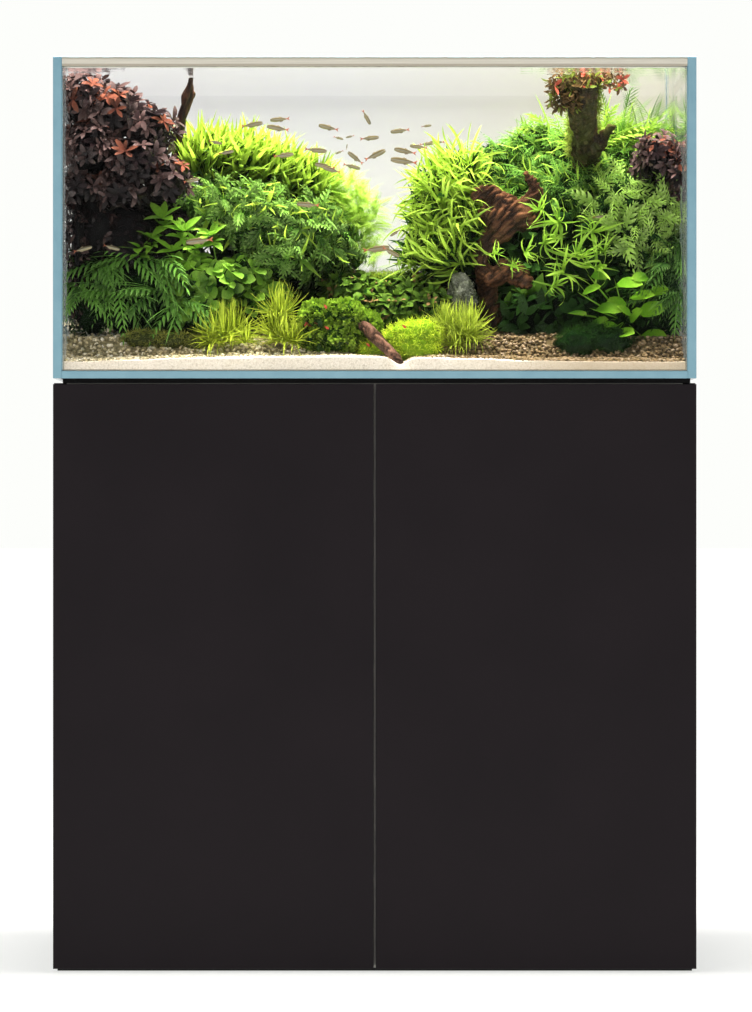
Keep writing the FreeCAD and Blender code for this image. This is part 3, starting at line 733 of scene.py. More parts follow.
# ---- leaf shapes ----------------------------------------------------------------------------------
OVATE = [blade(outline_ovate, 0.44, 4, droop, 0.22) for droop in (0.3, 0.8, -0.2)]
SPOON = [blade(outline_spoon, 0.38, 4, droop, 0.18) for droop in (0.2, 0.7, 1.1)]
ROUND = [blade(outline_round, 0.74, 5, droop, 0.16) for droop in (0.3, 0.8)]
LANCE = [blade(outline_lance, 0.17, 5, droop, 0.3, twist) for droop,
         twist in ((0.2, 0.4), (0.7, 0.0), (1.4, -0.6))]
BLADES = [blade(outline_lance, 0.13, 6, droop, 0.3, twist) for droop,
          twist in ((0.2, 0.4), (0.6, 0.0), (-0.3, 0.5))]
RIBBON = [blade(outline_ribbon, 0.075, 9, droop, 0.3, twist)
          for droop, twist in ((0.3, 0.6), (1.2, 1.4), (2.2, -1.8), (-1.0, 1.2), (2.9, 0.8))]
GRASS = [blade(outline_ribbon, 0.030, 6, droop, 0.4) for droop in (0.1, 0.5, 0.9, 1.4)]
NEEDLE = blade(outline_ribbon, 0.10, 2, 0.3, 0.3)
PINNA = blade(outline_lance, 0.25, 3, 0.45, 0.3)
WIDE_PINNA = blade(outline_ovate, 0.36, 3, 0.5, 0.3)
STALK = blade(outline_ribbon, 0.030, 6, 0.5, 0.5)
LONG_FRONDS = [pinnate(7, PINNA, STALK, 0.27, droop, 0.8) for droop in (0.5, 1.0, 1.4)]
LOBED = [pinnate(5, WIDE_PINNA, blade(outline_ribbon, 0.10, 5, droop, 0.4), 0.32, droop, 0.85)
         for droop in (0.5, 1.0, 1.4)]
FEATHER = pinnate(11, NEEDLE, STALK, 0.26, 0.6, 0.75)
TIP = compound([(NEEDLE, (0, 0, 0), (math.cos(a) * 0.8, math.sin(a) * 0.8, 0.7), (0, 0, 1), 1.0)
                for a in (0.2, 1.5, 2.7, 4.0, 5.2)])
SPRIG = compound([(ROUND[0], (0, 0, 0.25 * (i % 3)), (math.cos(a), math.sin(a), 0.5), (0, 0, 1), 0.55)
                  for i, a in enumerate((0.2, 1.4, 2.6, 3.9, 5.1, 0.9, 3.2))])


def clothe(thicket, group, spacing, rng, heights, templates, leaves, size, opened, material,
           lean=(0, 0, 0.5), follow=1.0, spread=0.25, low_z=0.0, share=1.0, lift=0.0):
    """Rosettes over the skin of a bush, with painted light and shade. heights is where painted shade ends
    and full painted light begins, lean pulls the growth one way, follow is how much it still grows
    outward, lift adds painted light to the whole coat."""
    for point, outward in bush_points(group, spacing, rng, low_z, share):
        exposed = exposure(point, outward, *heights) + lift + rng.uniform(-0.2, 0.2)
        growth = outward * follow + Vector(lean) * rng.uniform(0.6, 1.2)
        growth += Vector([rng.uniform(-0.25, 0.25) for _ in range(3)])
        rosette(thicket, rng.choice(templates), point, growth.normalized(), leaves, size, opened, rng,
                min(1.0, max(0.0, exposed)), material, spread)


def clothe_far_sides(thicket, group, spacing, rng, templates, material, size=(24, 38)):
    """Leaves over the rear and the ends of bushes, which only show from beside and behind the tank."""
    reach = INNER_X - 5 * MM
    for lobe in group:
        for point, outward in lobe.skin(spacing, rng, 1.0):
            at_end = abs(outward.x) > 0.5 and abs(point.x) > 0.85 * INNER_X
            buried = any(other.holds(point, 0.9) for other in group if other is not lobe)
            outside = point.z < BED_Z + 20 * MM or not INNER_FRONT_Y < point.y < INNER_REAR_Y
            if buried or outside or not (outward.y > 0.15 or at_end):
                continue
            place = Vector((min(reach, max(-reach, point.x)), point.y, point.z))
            rosette(thicket, rng.choice(templates), place, (outward + UP * 0.4).normalized(), 4,
                    rng.uniform(*size), 1.0, rng, exposure(point, outward, 40, 300), material)


def tuft(thicket, at, count, length, spread, rng, templates=GRASS, material=0, lean=(0, 0, 0)):
    """Blades fanning up and out from one root."""
    for _ in range(count):
        turn, opened = rng.uniform(0, 2 * math.pi), spread * rng.random() ** 0.6
        growth = Vector((math.sin(opened) * math.cos(turn), math.sin(opened) * math.sin(turn) - 0.12,
                         math.cos(opened))) + Vector(lean)
        face = Vector((math.cos(turn), math.sin(turn), 0.3))
        root = at + Vector((rng.uniform(-4, 4), rng.uniform(-4, 4), 0)) * MM
        thicket.add(rng.choice(templates), root, frame_of(growth, face),
                    length * MM * rng.uniform(0.6, 1.1), rng.random(), rng.uniform(0.3, 1.0), material)


def shade_leaf(name, colour=(0.010, 0.034, 0.006)):
    """Painted shade: the dull dark green given to leaves and stems deep inside a bush."""
    return leaf_material(name, scaled(colour, 0.2), colour, colour, 0.0, 0.9)


# ---- red plants -----------------------------------------------------------------------------------
def red_bush(name, group, shade_lobes, nodes, seed, heights):
    """Dark red stems: rosettes of spoon-shaped leaves over a nearly black inside, which is painted shade,
    reddest at the top, partly their own colour and partly painted light on the sunlit leaves.
    """
    rng = random.Random(seed)
    t = Thicket()
    low, high = heights
    clothe(t, group, 15, rng, heights, SPOON, 4, 17, 1.2, 2, share=0.76)
    for point, outward in bush_points(group, 22, rng):
        rise = exposure(point, outward, low, high)
        exposed = min(1.0, max(0.0, rise + rng.uniform(-0.6, 0.2)))
        growth = (outward + UP * 0.5 + TO_VIEWER * 0.5).normalized()
        sunlit = rise > 0.5 and rng.random() < 0.35
        material = 1 if sunlit else rng.choice((0, 0, 0, 2, 2))
        rosette(t, rng.choice(SPOON), point + outward * rng.uniform(-8, 5) * MM, growth,
                rng.choice((5, 6, 7)), rng.uniform(16, 22), 1.3, rng, exposed, material)
    core(t, group, 3, 0.8)
    # painted shade: dark lumps and dim inner leaves fill the deep shade under the bush
    for lobe in shade_lobes:
        t.lump(*clear_of_ends(lobe.centre, lobe.radii), 3, 0.1, 0.0, 0.12)
    clothe(t, shade_lobes, 15, rng, heights, SPOON, 3, 15, 1.2, 2, lift=-0.4)
    clothe_far_sides(t, group + shade_lobes, 15, rng, SPOON, 0, (14, 20))
    # painted light and shade: the grey-pink toward leaf tips is partly painted sheen, the sunlit red
    # partly painted light, inner and shade are painted shade
    leaf = leaf_material(name + "_leaf", (0.0015, 0.0008, 0.0012), (0.088, 0.047, 0.042),
                         (0.19, 0.130, 0.122), 0.06, 0.20)
    tip = leaf_material(name + "_tip", (0.030, 0.008, 0.006), (0.20, 0.058, 0.033), (0.28, 0.105, 0.060),
                        0.2)
    inner = leaf_material(name + "_inner", (0.003, 0.0015, 0.002), (0.012, 0.006, 0.006),
                          (0.022, 0.012, 0.012), 0.0)
    dark = leaf_material(name + "_shade", (0.002, 0.0015, 0.002), (0.004, 0.003, 0.004),
                         (0.004, 0.003, 0.004), 0.0, 0.9)
    return t.piece(name, (leaf, tip, inner, dark), "red_foliage", nodes)


def left_red_bush():
    group = lobes((-407, 378, 115, 36, 36, 60), (-365, 360, 110, 39, 38, 62),
                  (-318, 336, 110, 35, 35, 55), (-397, 311, 95, 40, 38, 60), (-336, 290, 90, 44, 34, 58),
                  (-290, 268, 95, 32, 26, 45), (-407, 256, 85, 34, 20, 45), (-352, 250, 85, 34, 20, 45))
    shade_lobes = lobes((-400, 205, 130, 44, 52, 50), (-345, 190, 135, 45, 50, 45), (-290, 185, 150, 40, 50, 45),
                 (-426, 190, 120, 24, 60, 60), (-424, 120, 150, 24, 60, 60), (-424, 330, 150, 26, 70, 60),
                 (-320, 215, 170, 50, 40, 40), (-376, 285, 135, 44, 44, 36))
    return red_bush("red_bush_left", group, shade_lobes, ("plant_red_left",), 11, (215, 400))


def right_red_bush():
    group = lobes((398, 300, 150, 30, 30, 50), (424, 276, 140, 14, 34, 45), (384, 288, 170, 18, 22, 40))
    return red_bush("red_bush_right", group, [], ("plant_red_right",), 12, (225, 320))


# ---- the left hill --------------------------------------------------------------------------------
def left_bright_bush():
    """Long narrow leaves reaching for the light, lobed leaves below, fine stems at the open side."""
    rng = random.Random(21)
    t = Thicket()
    tall = lobes((-236, 285, 200, 32, 32, 45), (-189, 283, 215, 34, 30, 50), (-144, 268, 225, 34, 32, 50),
                 (-105, 250, 220, 32, 28, 45))
    lower = lobes((-224, 225, 165, 40, 36, 48), (-165, 214, 160, 48, 38, 52),
                  (-104, 196, 170, 46, 38, 50), (-64, 178, 190, 30, 32, 40), (-125, 160, 150, 42, 26, 42))
    fine = lobes((-56, 238, 230, 34, 30, 36), (-26, 214, 225, 26, 28, 30), (-40, 190, 215, 28, 26, 30))
    clothe(t, tall, 13, rng, (220, 320), LANCE, 4, 38, 0.7, 3, (0.2, 0, 1.0), 0.5, share=0.8)
    clothe(t, tall, 17, rng, (225, 310), BLADES, 5, 54, 0.6, 0, (0.25, 0, 1.0), 0.5)
    clothe(t, lower, 14, rng, (120, 280), LOBED, 3, 32, 1.0, 3, (0.2, 0, 0.3), share=0.8)
    clothe(t, lower, 18, rng, (130, 265), LOBED, 3, 40, 1.1, 1, (0.3, -0.4, 0.1), lift=0.05)
    clothe(t, lower, 30, rng, (110, 240), LANCE + RIBBON, 4, 40, 1.1, 0, (0.3, -0.2, 0.3), lift=-0.15)
    clothe(t, fine, 11, rng, (150, 250), [FEATHER], 3, 36, 0.8, 2, (0.4, 0, 0.8), 0.8, 0.4)
    core(t, tall, 4, 0.7)
    core(t, lower, 4)
    core(t, fine, 2, 0.6)
    top = leaf_material("long_leaf", (0.055, 0.15, 0.008), (0.46, 0.64, 0.055), (0.64, 0.78, 0.13), 0.4)
    mid = leaf_material("lobed_leaf", (0.006, 0.031, 0.004), (0.135, 0.295, 0.030), (0.42, 0.57, 0.17),
                        0.22)
    fine_leaf = leaf_material("fine_stem", (0.16, 0.32, 0.02), (0.52, 0.72, 0.10), (0.70, 0.86, 0.24),
                              0.45)
    inner = shade_leaf("bush_inner", (0.035, 0.10, 0.010))
    return t.piece("bright_bush_left", (top, mid, fine_leaf, inner, shade_leaf("bush_core")),
                   "bright_foliage", ("plant_fern_bright_left",))


def fine_stem_clump():
    """Pale feathery stems at the back of the open middle."""
    rng = random.Random(22)
    t = Thicket()
    group = lobes((-42, 180, 385, 30, 56, 22), (-26, 130, 385, 26, 50, 22))
    clothe(t, group, 16, rng, (90, 230), [FEATHER], 3, 38, 0.6, 0, (0, 0, 1.0), 0.5, 0.4)
    leaf = leaf_material("pale_stem", (0.18, 0.34, 0.03), (0.50, 0.70, 0.12), (0.70, 0.84, 0.26), 0.5)
    return t.piece("fine_stems", (leaf,), "bright_foliage", ("plant_fine_stem_centre",))


def left_round_leaves():
    """Low plants with rounded leaves on short stalks, and sprigs above them."""
    rng = random.Random(41)
    t = Thicket()
    group = lobes((-259, 132, 130, 30, 26, 34), (-212, 126, 120, 34, 24, 34),
                  (-180, 138, 135, 26, 20, 32), (-240, 88, 120, 36, 26, 34), (-160, 100, 140, 34, 26, 30))
    clothe(t, group, 12, rng, (50, 170), ROUND + OVATE, 3, 18, 1.0, 1, share=0.82)
    clothe(t, group, 17, rng, (40, 160), ROUND, 3, 21, 1.05, 0, (0, -0.3, 0.6))
    for x, z in ((-312, 186), (-268, 196), (-296, 214), (-248, 172), (-330, 172), (-228, 190),
                 (-282, 168)):
        at = seen(x, z, 100)
        growth = Vector((rng.uniform(-0.3, 0.3), -0.6, 1)).normalized()
        rosette(t, OVATE[0], at, growth, 6, 30, 1.2, rng, 1.0, 0)
        rosette(t, OVATE[1], at - growth * 12 * MM, growth, 5, 24, 1.3, rng, 0.6, 0)
        root = seen(x + 12, z - 70, 130)
        t.add(STALK, root, frame_of(at - root, TO_VIEWER), (at - root).length, 0.5, 0.6)
    core(t, group, 2, 0.86)
    leaf = leaf_material("round_leaf", (0.014, 0.062, 0.006), (0.23, 0.48, 0.035), (0.42, 0.64, 0.10),
                         0.22)
    return t.piece("round_leaf_plants", (leaf, shade_leaf("round_inner", (0.016, 0.055, 0.007)),
                                         shade_leaf("round_core")), "green_foliage",
                   ("plant_round_leaf_left",))


# ---- the right hill -------------------------------------------------------------------------------
def centre_narrow_fern():
    """Long narrow fern leaves leaning up and out over the open water."""
    rng = random.Random(31)
    t = Thicket()
    group = lobes((88, 232, 190, 26, 34, 45), (118, 258, 200, 30, 36, 50), (118, 198, 180, 32, 38, 45),
                  (78, 186, 185, 24, 26, 38), (96, 152, 160, 32, 22, 36), (66, 160, 170, 22, 18, 30))
    clothe(t, group, 13, rng, (130, 300), LANCE + RIBBON, 4, 42, 0.7, 1, (-0.6, 0, 0.5), 0.7, share=0.8)
    clothe(t, group, 18, rng, (90, 260), RIBBON, 7, 58, 0.75, 0, (-1.0, -0.15, 0.6), 0.7, lift=0.1)
    core(t, group, 2, 0.76)
    leaf = leaf_material("narrow_fern", (0.030, 0.11, 0.008), (0.48, 0.70, 0.060), (0.68, 0.82, 0.16),
                         0.35)
    return t.piece("narrow_fern", (leaf, shade_leaf("narrow_inner", (0.030, 0.095, 0.010)),
                                   shade_leaf("narrow_core")), "bright_foliage",
                   ("plant_narrow_fern_centre",))


def right_hedge():
    """The broad green hill behind the driftwood."""
    rng = random.Random(32)
    t = Thicket()
    group = lobes((172, 280, 330, 36, 30, 42), (224, 302, 320, 38, 36, 46), (270, 290, 300, 38, 42, 50),
                  (335, 302, 330, 42, 38, 48), (385, 296, 345, 38, 36, 40), (285, 246, 240, 46, 36, 48),
                  (340, 262, 250, 40, 34, 46), (228, 250, 290, 40, 36, 46))
    clothe(t, group, 15, rng, (200, 350), LOBED, 3, 32, 1.0, 2, share=0.82)
    clothe(t, group, 19, rng, (190, 330), LONG_FRONDS, 3, 40, 1.0, 1, (0.2, -0.2, 0.5))
    clothe(t, group, 21, rng, (200, 320), LANCE + RIBBON, 4, 36, 1.0, 0, (0, -0.1, 0.8), lift=0.05)
    for _ in range(34):
        point = seen(rng.uniform(240, 400), rng.uniform(296, 332), rng.uniform(250, 330))
        growth = Vector((rng.uniform(-0.5, 1.2), -0.2, rng.uniform(0.2, 0.9))).normalized()
        t.add(rng.choice(LONG_FRONDS), point, frame_of(growth, UP), rng.uniform(60, 100) * MM,
              rng.random(), 1.0, 0)
    for _ in range(70):
        point = seen(rng.uniform(300, 434), rng.uniform(292, 345), rng.uniform(250, 340))
        growth = Vector((rng.uniform(-0.2, 0.9), -0.1, rng.uniform(0.4, 1.0))).normalized()
        t.add(FEATHER, point, frame_of(growth, UP), rng.uniform(45, 85) * MM, rng.random(), rng.random(),
              rng.choice((0, 1)))
    core(t, group, 3, 0.8)
    top = leaf_material("hill_top", (0.035, 0.12, 0.008), (0.34, 0.52, 0.055), (0.52, 0.68, 0.14), 0.35)
    low = leaf_material("hill_low", (0.010, 0.048, 0.006), (0.15, 0.34, 0.040), (0.32, 0.52, 0.12), 0.22)
    return t.piece("fern_hill", (top, low, shade_leaf("hill_inner", (0.016, 0.055, 0.008)),
                                 shade_leaf("hill_core")), "green_foliage", ("plant_hedge_right_rear",))


def right_fronds():
    """Feathered fronds hanging forward, and ribbon-leaved ferns that spill over the wood."""
    rng = random.Random(33)
    t = Thicket()
    group = lobes((352, 232, 175, 40, 30, 40), (396, 218, 165, 34, 40, 38), (366, 182, 150, 40, 28, 36))
    clothe(t, group, 15, rng, (140, 270), LOBED + LONG_FRONDS, 3, 34, 1.0, 2, (0, -0.3, 0.1), share=0.78)
    clothe(t, group, 25, rng, (110, 240), LOBED[1:] + LONG_FRONDS[1:], 3, 50, 0.9, 0, (-0.3, -0.8, -0.4),
           lift=0.2)
    ferns = ((259, 208, 120, 60), (282, 160, 105, 60), (238, 178, 125, 50), (304, 194, 120, 52),
             (262, 136, 110, 54), (232, 226, 130, 44), (306, 146, 108, 56), (250, 118, 104, 40),
             (320, 168, 112, 44), (212, 166, 118, 34), (168, 164, 114, 28), (194, 146, 118, 26))
    for x, z, depth, size in ferns:
        at = seen(x, z, depth)
        tuft(t, at, 18, size, 1.6, rng, RIBBON, 1, (0.1, -0.3, -0.3))
        if size > 40:
            # painted shade: a dark lump behind each larger tuft
            t.lump(at + Vector((0, 26 * MM, 0)), (20 * MM, 14 * MM, 18 * MM), 3)
    clothe_far_sides(t, group, 18, rng, LONG_FRONDS, 0)
    core(t, group, 3, 0.8)
    frond = leaf_material("hanging_frond", (0.006, 0.034, 0.004), (0.38, 0.62, 0.090), (0.70, 0.84, 0.32),
                          0.27)
    ribbon = leaf_material("ribbon_fern", (0.050, 0.17, 0.010), (0.40, 0.64, 0.060), (0.58, 0.78, 0.16),
                           0.32)
    return t.piece("hanging_ferns", (frond, ribbon, shade_leaf("frond_inner", (0.014, 0.050, 0.007)),
                                     shade_leaf("frond_core")), "green_foliage", ("plant_frond_right",))


def broad_leaves():
    """A few large rounded leaves on stalks, low at the right."""
    rng = random.Random(43)
    t = Thicket()
    leaves = ((352, 132, 38, 0.2), (322, 96, 38, -0.5), (344, 62, 34, -0.9), (382, 92, 40, 0.4),
              (386, 60, 38, -0.3), (305, 72, 32, -1.2), (366, 112, 36, 0.9), (302, 118, 30, 0.6),
              (330, 120, 34, 1.2), (286, 92, 28, 0.1), (360, 78, 28, -1.4), (398, 120, 28, 0.3),
              (316, 142, 26, 0.2), (340, 104, 30, -2.6), (370, 140, 26, 2.7), (350, 88, 24, 2.2),
              (326, 74, 24, 2.9))
    root = seen(350, 70, 130)
    for x, z, size, turn in leaves:
        at = seen(x - 14 * math.cos(turn), z - 10, rng.uniform(84, 116))
        growth = Vector((math.cos(turn), rng.uniform(-0.6, -0.2), rng.uniform(0.0, 0.6))).normalized()
        face = Vector((rng.uniform(-0.4, 0.4), rng.uniform(-1.0, -0.4), 0.8))
        t.add(rng.choice(ROUND), at, frame_of(growth, face), size * MM, rng.random(),
              rng.uniform(0.2, 1.0), 0)
        t.add(STALK, root, frame_of(at - root, TO_VIEWER), (at - root).length, 0.6, 0.5)
    shade = lobes((300, 85, 140, 36, 34, 18), (345, 84, 140, 36, 38, 18), (380, 75, 140, 34, 34, 18),
                  (330, 125, 145, 40, 30, 18))
    clothe(t, shade, 15, rng, (40, 240), ROUND + OVATE, 3, 20, 1.0, 1)
    core(t, shade, 2, 0.95)
    leaf = leaf_material("broad_leaf", (0.022, 0.100, 0.005), (0.22, 0.50, 0.022), (0.42, 0.62, 0.07),
                         0.25)
    return t.piece("broad_leaf_plant", (leaf, shade_leaf("broad_inner", (0.018, 0.060, 0.008)),
                                        shade_leaf("broad_core")), "green_foliage",
                   ("plant_broad_leaf_right",))


# ---- low and shaded plants ------------------------------------------------------------------------
def dark_ferns():
    """Dark pinnate fronds arching down over the gravel at both ends."""
    rng = random.Random(42)
    t = Thicket()
    crowns = [(-385, 150, 100, 9, 1.0), (-340, 158, 105, 9, 1.0), (-300, 156, 110, 9, 1.0),
              (-415, 120, 90, 8, 0.9), (-360, 112, 85, 8, 0.9), (-300, 112, 90, 8, 0.9),
              (-270, 96, 92, 7, 0.8), (412, 150, 120, 10, 0.8), (425, 110, 100, 9, 0.8),
              (398, 105, 120, 8, 0.7), (428, 180, 130, 8, 0.8)]
    for x, z, depth, count, share in crowns:
        at = seen(x, z, depth)
        for _ in range(count):
            aim = rng.uniform(-1.3, 1.3)
            growth = Vector((math.sin(aim), rng.uniform(-0.8, -0.2), rng.uniform(-0.7, 0.4))).normalized()
            # painted shade: fronds at the right end get little exposure, so they take the deep colour
            t.add(rng.choice(LONG_FRONDS), at, frame_of(growth, UP + TO_VIEWER * 0.5),
                  share * rng.uniform(60, 95) * MM, rng.random(),
                  rng.uniform(0.0, 1.0 if x < 0 else 0.15), 0)
    backing = lobes((-400, 110, 135, 36, 60, 20), (-340, 110, 140, 46, 62, 22),
                    (-285, 100, 150, 40, 56, 22), (418, 120, 150, 24, 64, 22))
    clothe(t, backing, 15, rng, (60, 220), LONG_FRONDS, 2, 40, 1.0, 1, (0, -0.4, -0.2))
    clothe_far_sides(t, backing, 14, rng, LONG_FRONDS, 0)
    core(t, backing, 2, 0.95)
    for x, z, rx, rz in ((-322, 44, 32, 13), (-284, 42, 34, 13), (-250, 38, 24, 11)):
        low = lobes((x, z, 85, rx, rz, 18))
        clothe(t, low, 5, rng, (20, 90), [TIP], 1, 8, 0.3, 3, spread=0.5, low_z=8, lift=0.3)
        core(t, low, 3, 0.95)
    leaf = leaf_material("dark_fern", (0.007, 0.034, 0.005), (0.13, 0.31, 0.040), (0.30, 0.50, 0.13),
                         0.15)
    moss = leaf_material("shaded_moss", (0.030, 0.038, 0.008), (0.30, 0.31, 0.055), (0.44, 0.44, 0.11),
                         0.2)
    return t.piece("dark_ferns", (leaf, shade_leaf("fern_inner", (0.012, 0.045, 0.008)),
                                  shade_leaf("fern_core"), moss), "dark_foliage", ("plant_dark_ferns",))


def grass_tufts(name, roots, node, seed, colours):
    rng = random.Random(seed)
    t = Thicket()
    for x, z, depth, count, length in roots:
        tuft(t, seen(x, z, depth), int(1.3 * count), length, 1.65, rng)
    return t.piece(name, (leaf_material(name + "_blade", *colours, 0.35),), "bright_foliage", (node,))


def left_grass():
    roots = ((-212, 46, 72, 130, 56), (-196, 54, 80, 90, 52), (-230, 38, 70, 70, 44),
             (-128, 42, 70, 110, 54), (-132, 78, 84, 110, 52), (-112, 40, 66, 60, 40),
             (-144, 56, 76, 60, 44), (-180, 40, 70, 50, 40))
    colours = ((0.085, 0.15, 0.006), (0.44, 0.53, 0.034), (0.68, 0.74, 0.11))
    return grass_tufts("grass_left", roots, "plant_grass_left", 51, colours)


def right_grass():
    roots = ((112, 56, 80, 130, 46), (128, 48, 76, 120, 46), (98, 64, 84, 110, 42), (134, 66, 86, 80, 40),
             (112, 36, 72, 90, 38), (142, 44, 80, 60, 36))
    colours = ((0.075, 0.14, 0.006), (0.42, 0.51, 0.042), (0.62, 0.69, 0.12))
    return grass_tufts("grass_right", roots, "plant_grass_right", 52, colours)


def mossy(name, group, slot, nodes, seed, colours, spacing, size, template=TIP, red=0, lift=0.2):
    """A cushion covered with fine tips, with a few red specks."""
    rng = random.Random(seed)
    t = Thicket()
    clothe(t, group, spacing, rng, (15, 110), [template], 1, size, 0.3, 0, (0, 0, 0.3), spread=0.5,
           low_z=10, lift=lift)
    for _ in range(red):
        lobe = rng.choice(group)
        at = lobe.centre + Vector((rng.uniform(-0.7, 0.7) * lobe.radii.x, -lobe.radii.y,
                                   0.5 * lobe.radii.z))
        t.add(OVATE[0], at, frame_of(Vector((rng.uniform(-1, 1), -0.4, 0.6)), TO_VIEWER), 8 * MM, 0.6,
              1.0, 1)
    core(t, group, 0, 0.92, 0.25)
    leaf = leaf_material(name + "_leaf", *colours, 0.25)
    fleck = leaf_material(name + "_fleck", (0.30, 0.03, 0.02), (0.50, 0.08, 0.05), (0.5, 0.1, 0.06))
    return t.piece(name, (leaf, fleck) if red else (leaf,), slot, nodes)


def moss_cushions():
    mossy("moss_bush", lobes((-78, 74, 82, 28, 25, 24), (-42, 76, 86, 26, 24, 24),
                             (-60, 46, 80, 42, 24, 22), (-14, 60, 92, 24, 24, 22),
                             (-92, 50, 84, 20, 24, 20), (-26, 36, 90, 30, 20, 18)),
          "green_foliage", ("plant_moss_bush_centre",), 61,
          ((0.012, 0.045, 0.003), (0.22, 0.38, 0.024), (0.46, 0.62, 0.07)), 5.0, 9, SPRIG, 6, 0.05)
    mossy("bright_carpet_mound", lobes((40, 44, 70, 28, 24, 20), (64, 46, 74, 32, 27, 22),
                                       (26, 34, 70, 18, 18, 16), (52, 30, 62, 40, 18, 16),
                                       (-4, 26, 74, 22, 16, 12)),
          "bright_foliage", ("plant_riccia_mound",), 62,
          ((0.16, 0.27, 0.010), (0.66, 0.80, 0.045), (0.88, 0.96, 0.18)), 5.2, 9, TIP, 2, 0.35)
    mossy("dark_moss_mound", lobes((288, 36, 84, 38, 24, 22), (326, 38, 86, 38, 25, 22),
                                   (308, 46, 92, 36, 22, 22)),
          "scape_stone", ("stone_mossy",), 63,
          ((0.004, 0.018, 0.003), (0.034, 0.10, 0.014), (0.075, 0.17, 0.025)), 5.5, 9, TIP, 0, 0.0)


def valley_plants():
    """Low mixed planting between the two hills, with a mat of moss along its top."""
    rng = random.Random(64)
    t = Thicket()
    group = lobes((-36, 112, 190, 36, 22, 50), (10, 104, 180, 36, 22, 50), (52, 108, 170, 32, 26, 48),
                  (30, 80, 130, 40, 26, 34), (-10, 80, 140, 34, 26, 34), (78, 88, 130, 26, 26, 30))
    clothe(t, group, 12, rng, (60, 220), ROUND + OVATE, 3, 16, 1.0, 4, share=0.84)
    clothe(t, group, 17, rng, (40, 150), ROUND, 3, 15, 1.1, 0)
    clothe(t, group, 20, rng, (40, 150), OVATE, 4, 18, 1.0, 0)
    clothe(t, group, 34, rng, (40, 150), SPOON, 4, 15, 0.9, 2)
    mat = lobes((18, 126, 230, 56, 12, 60))
    clothe(t, mat, 6, rng, (0, 60), [TIP], 1, 9, 0.3, 3, spread=0.5)
    core(t, group, 1)
    core(t, mat, 3, 0.8)
    leaf = leaf_material("valley_leaf", (0.006, 0.025, 0.003), (0.092, 0.185, 0.015), (0.21, 0.31, 0.045),
                         0.20)
    ruddy = leaf_material("ruddy_leaf", (0.07, 0.035, 0.015), (0.34, 0.20, 0.08), (0.46, 0.30, 0.12))
    carpet = leaf_material("moss_mat", (0.12, 0.20, 0.01), (0.36, 0.46, 0.05), (0.50, 0.58, 0.10))
    return t.piece("valley_plants", (leaf, shade_leaf("valley_core"), ruddy, carpet,
                                     shade_leaf("valley_inner", (0.018, 0.060, 0.007))),
                   "green_foliage", ("plant_valley_cover",))


def undergrowth():
    """Stems and leaves in the shade below and behind the hills."""
    rng = random.Random(72)
    t = Thicket()
    group = lobes((-270, 80, 260, 60, 90, 40), (-190, 110, 250, 60, 90, 44), (-120, 90, 255, 60, 84, 44),
                  (-60, 100, 250, 36, 70, 36), (-10, 62, 250, 40, 50, 36), (50, 62, 240, 40, 56, 36),
                  (100, 90, 240, 40, 80, 36), (165, 130, 250, 50, 120, 44), (235, 130, 250, 50, 120, 44),
                  (310, 120, 245, 50, 110, 44), (385, 130, 250, 46, 120, 44), (215, 60, 190, 44, 44, 30),
                  (270, 70, 180, 40, 50, 30))
    clothe(t, group, 19, rng, (60, 420), OVATE + LANCE, 3, 28, 1.1, 0, (0, -0.3, 0.2), low_z=20)
    clothe_far_sides(t, group, 15, rng, OVATE + LANCE, 2)
    core(t, group, 1, 0.94)
    # painted shade: dark leaves and lumps fill the shade below and behind the hills; the lighter far-side
    # leaves are a lit copy
    leaf = leaf_material("undergrowth", (0.003, 0.012, 0.002), (0.030, 0.085, 0.012), (0.05, 0.12, 0.02),
                         0.05)
    far_leaf = leaf_material("far_side_leaf", (0.015, 0.055, 0.006), (0.16, 0.34, 0.035),
                             (0.28, 0.46, 0.07), 0.15)
    return t.piece("undergrowth", (leaf, shade_leaf("undergrowth_core", (0.004, 0.010, 0.003)), far_leaf),
                   "dark_foliage")


# ---- wood and stone -------------------------------------------------------------------------------
def swept_tube(points_and_radii, around=14, steps=8):
    """A closed tube through seen points (x, z, depth, radius in mm), smoothed between them."""
    centres = [seen(*row[:3]) for row in points_and_radii]
    radii = [row[3] * MM for row in points_and_radii]
    path = []
    for i in range(len(centres) - 1):
        before, a = centres[max(i - 1, 0)], centres[i]
        b, after = centres[i + 1], centres[min(i + 2, len(centres) - 1)]
        for s in range(steps):
            u = s / steps
            point = 0.5 * (2 * a + (b - before) * u + (2 * before - 5 * a + 4 * b - after) * u ** 2
                           + (3 * a - before - 3 * b + after) * u ** 3)
            path.append((point, radii[i] + (radii[i + 1] - radii[i]) * (3 * u * u - 2 * u ** 3)))
    path.append((centres[-1], radii[-1]))
    points = []
    side = Vector((0, 1, 0.01))
    for i, (centre, radius) in enumerate(path):
        tangent = (path[min(i + 1, len(path) - 1)][0] - path[max(i - 1, 0)][0]).normalized()
        side = (side - tangent * side.dot(tangent)).normalized()
        other = tangent.cross(side)
        for j in range(around):
            a = 2 * math.pi * j / around
            points.append(centre + (side * math.cos(a) + other * math.sin(a)) * radius)
    return points, tube_faces(len(path) - 1, around)


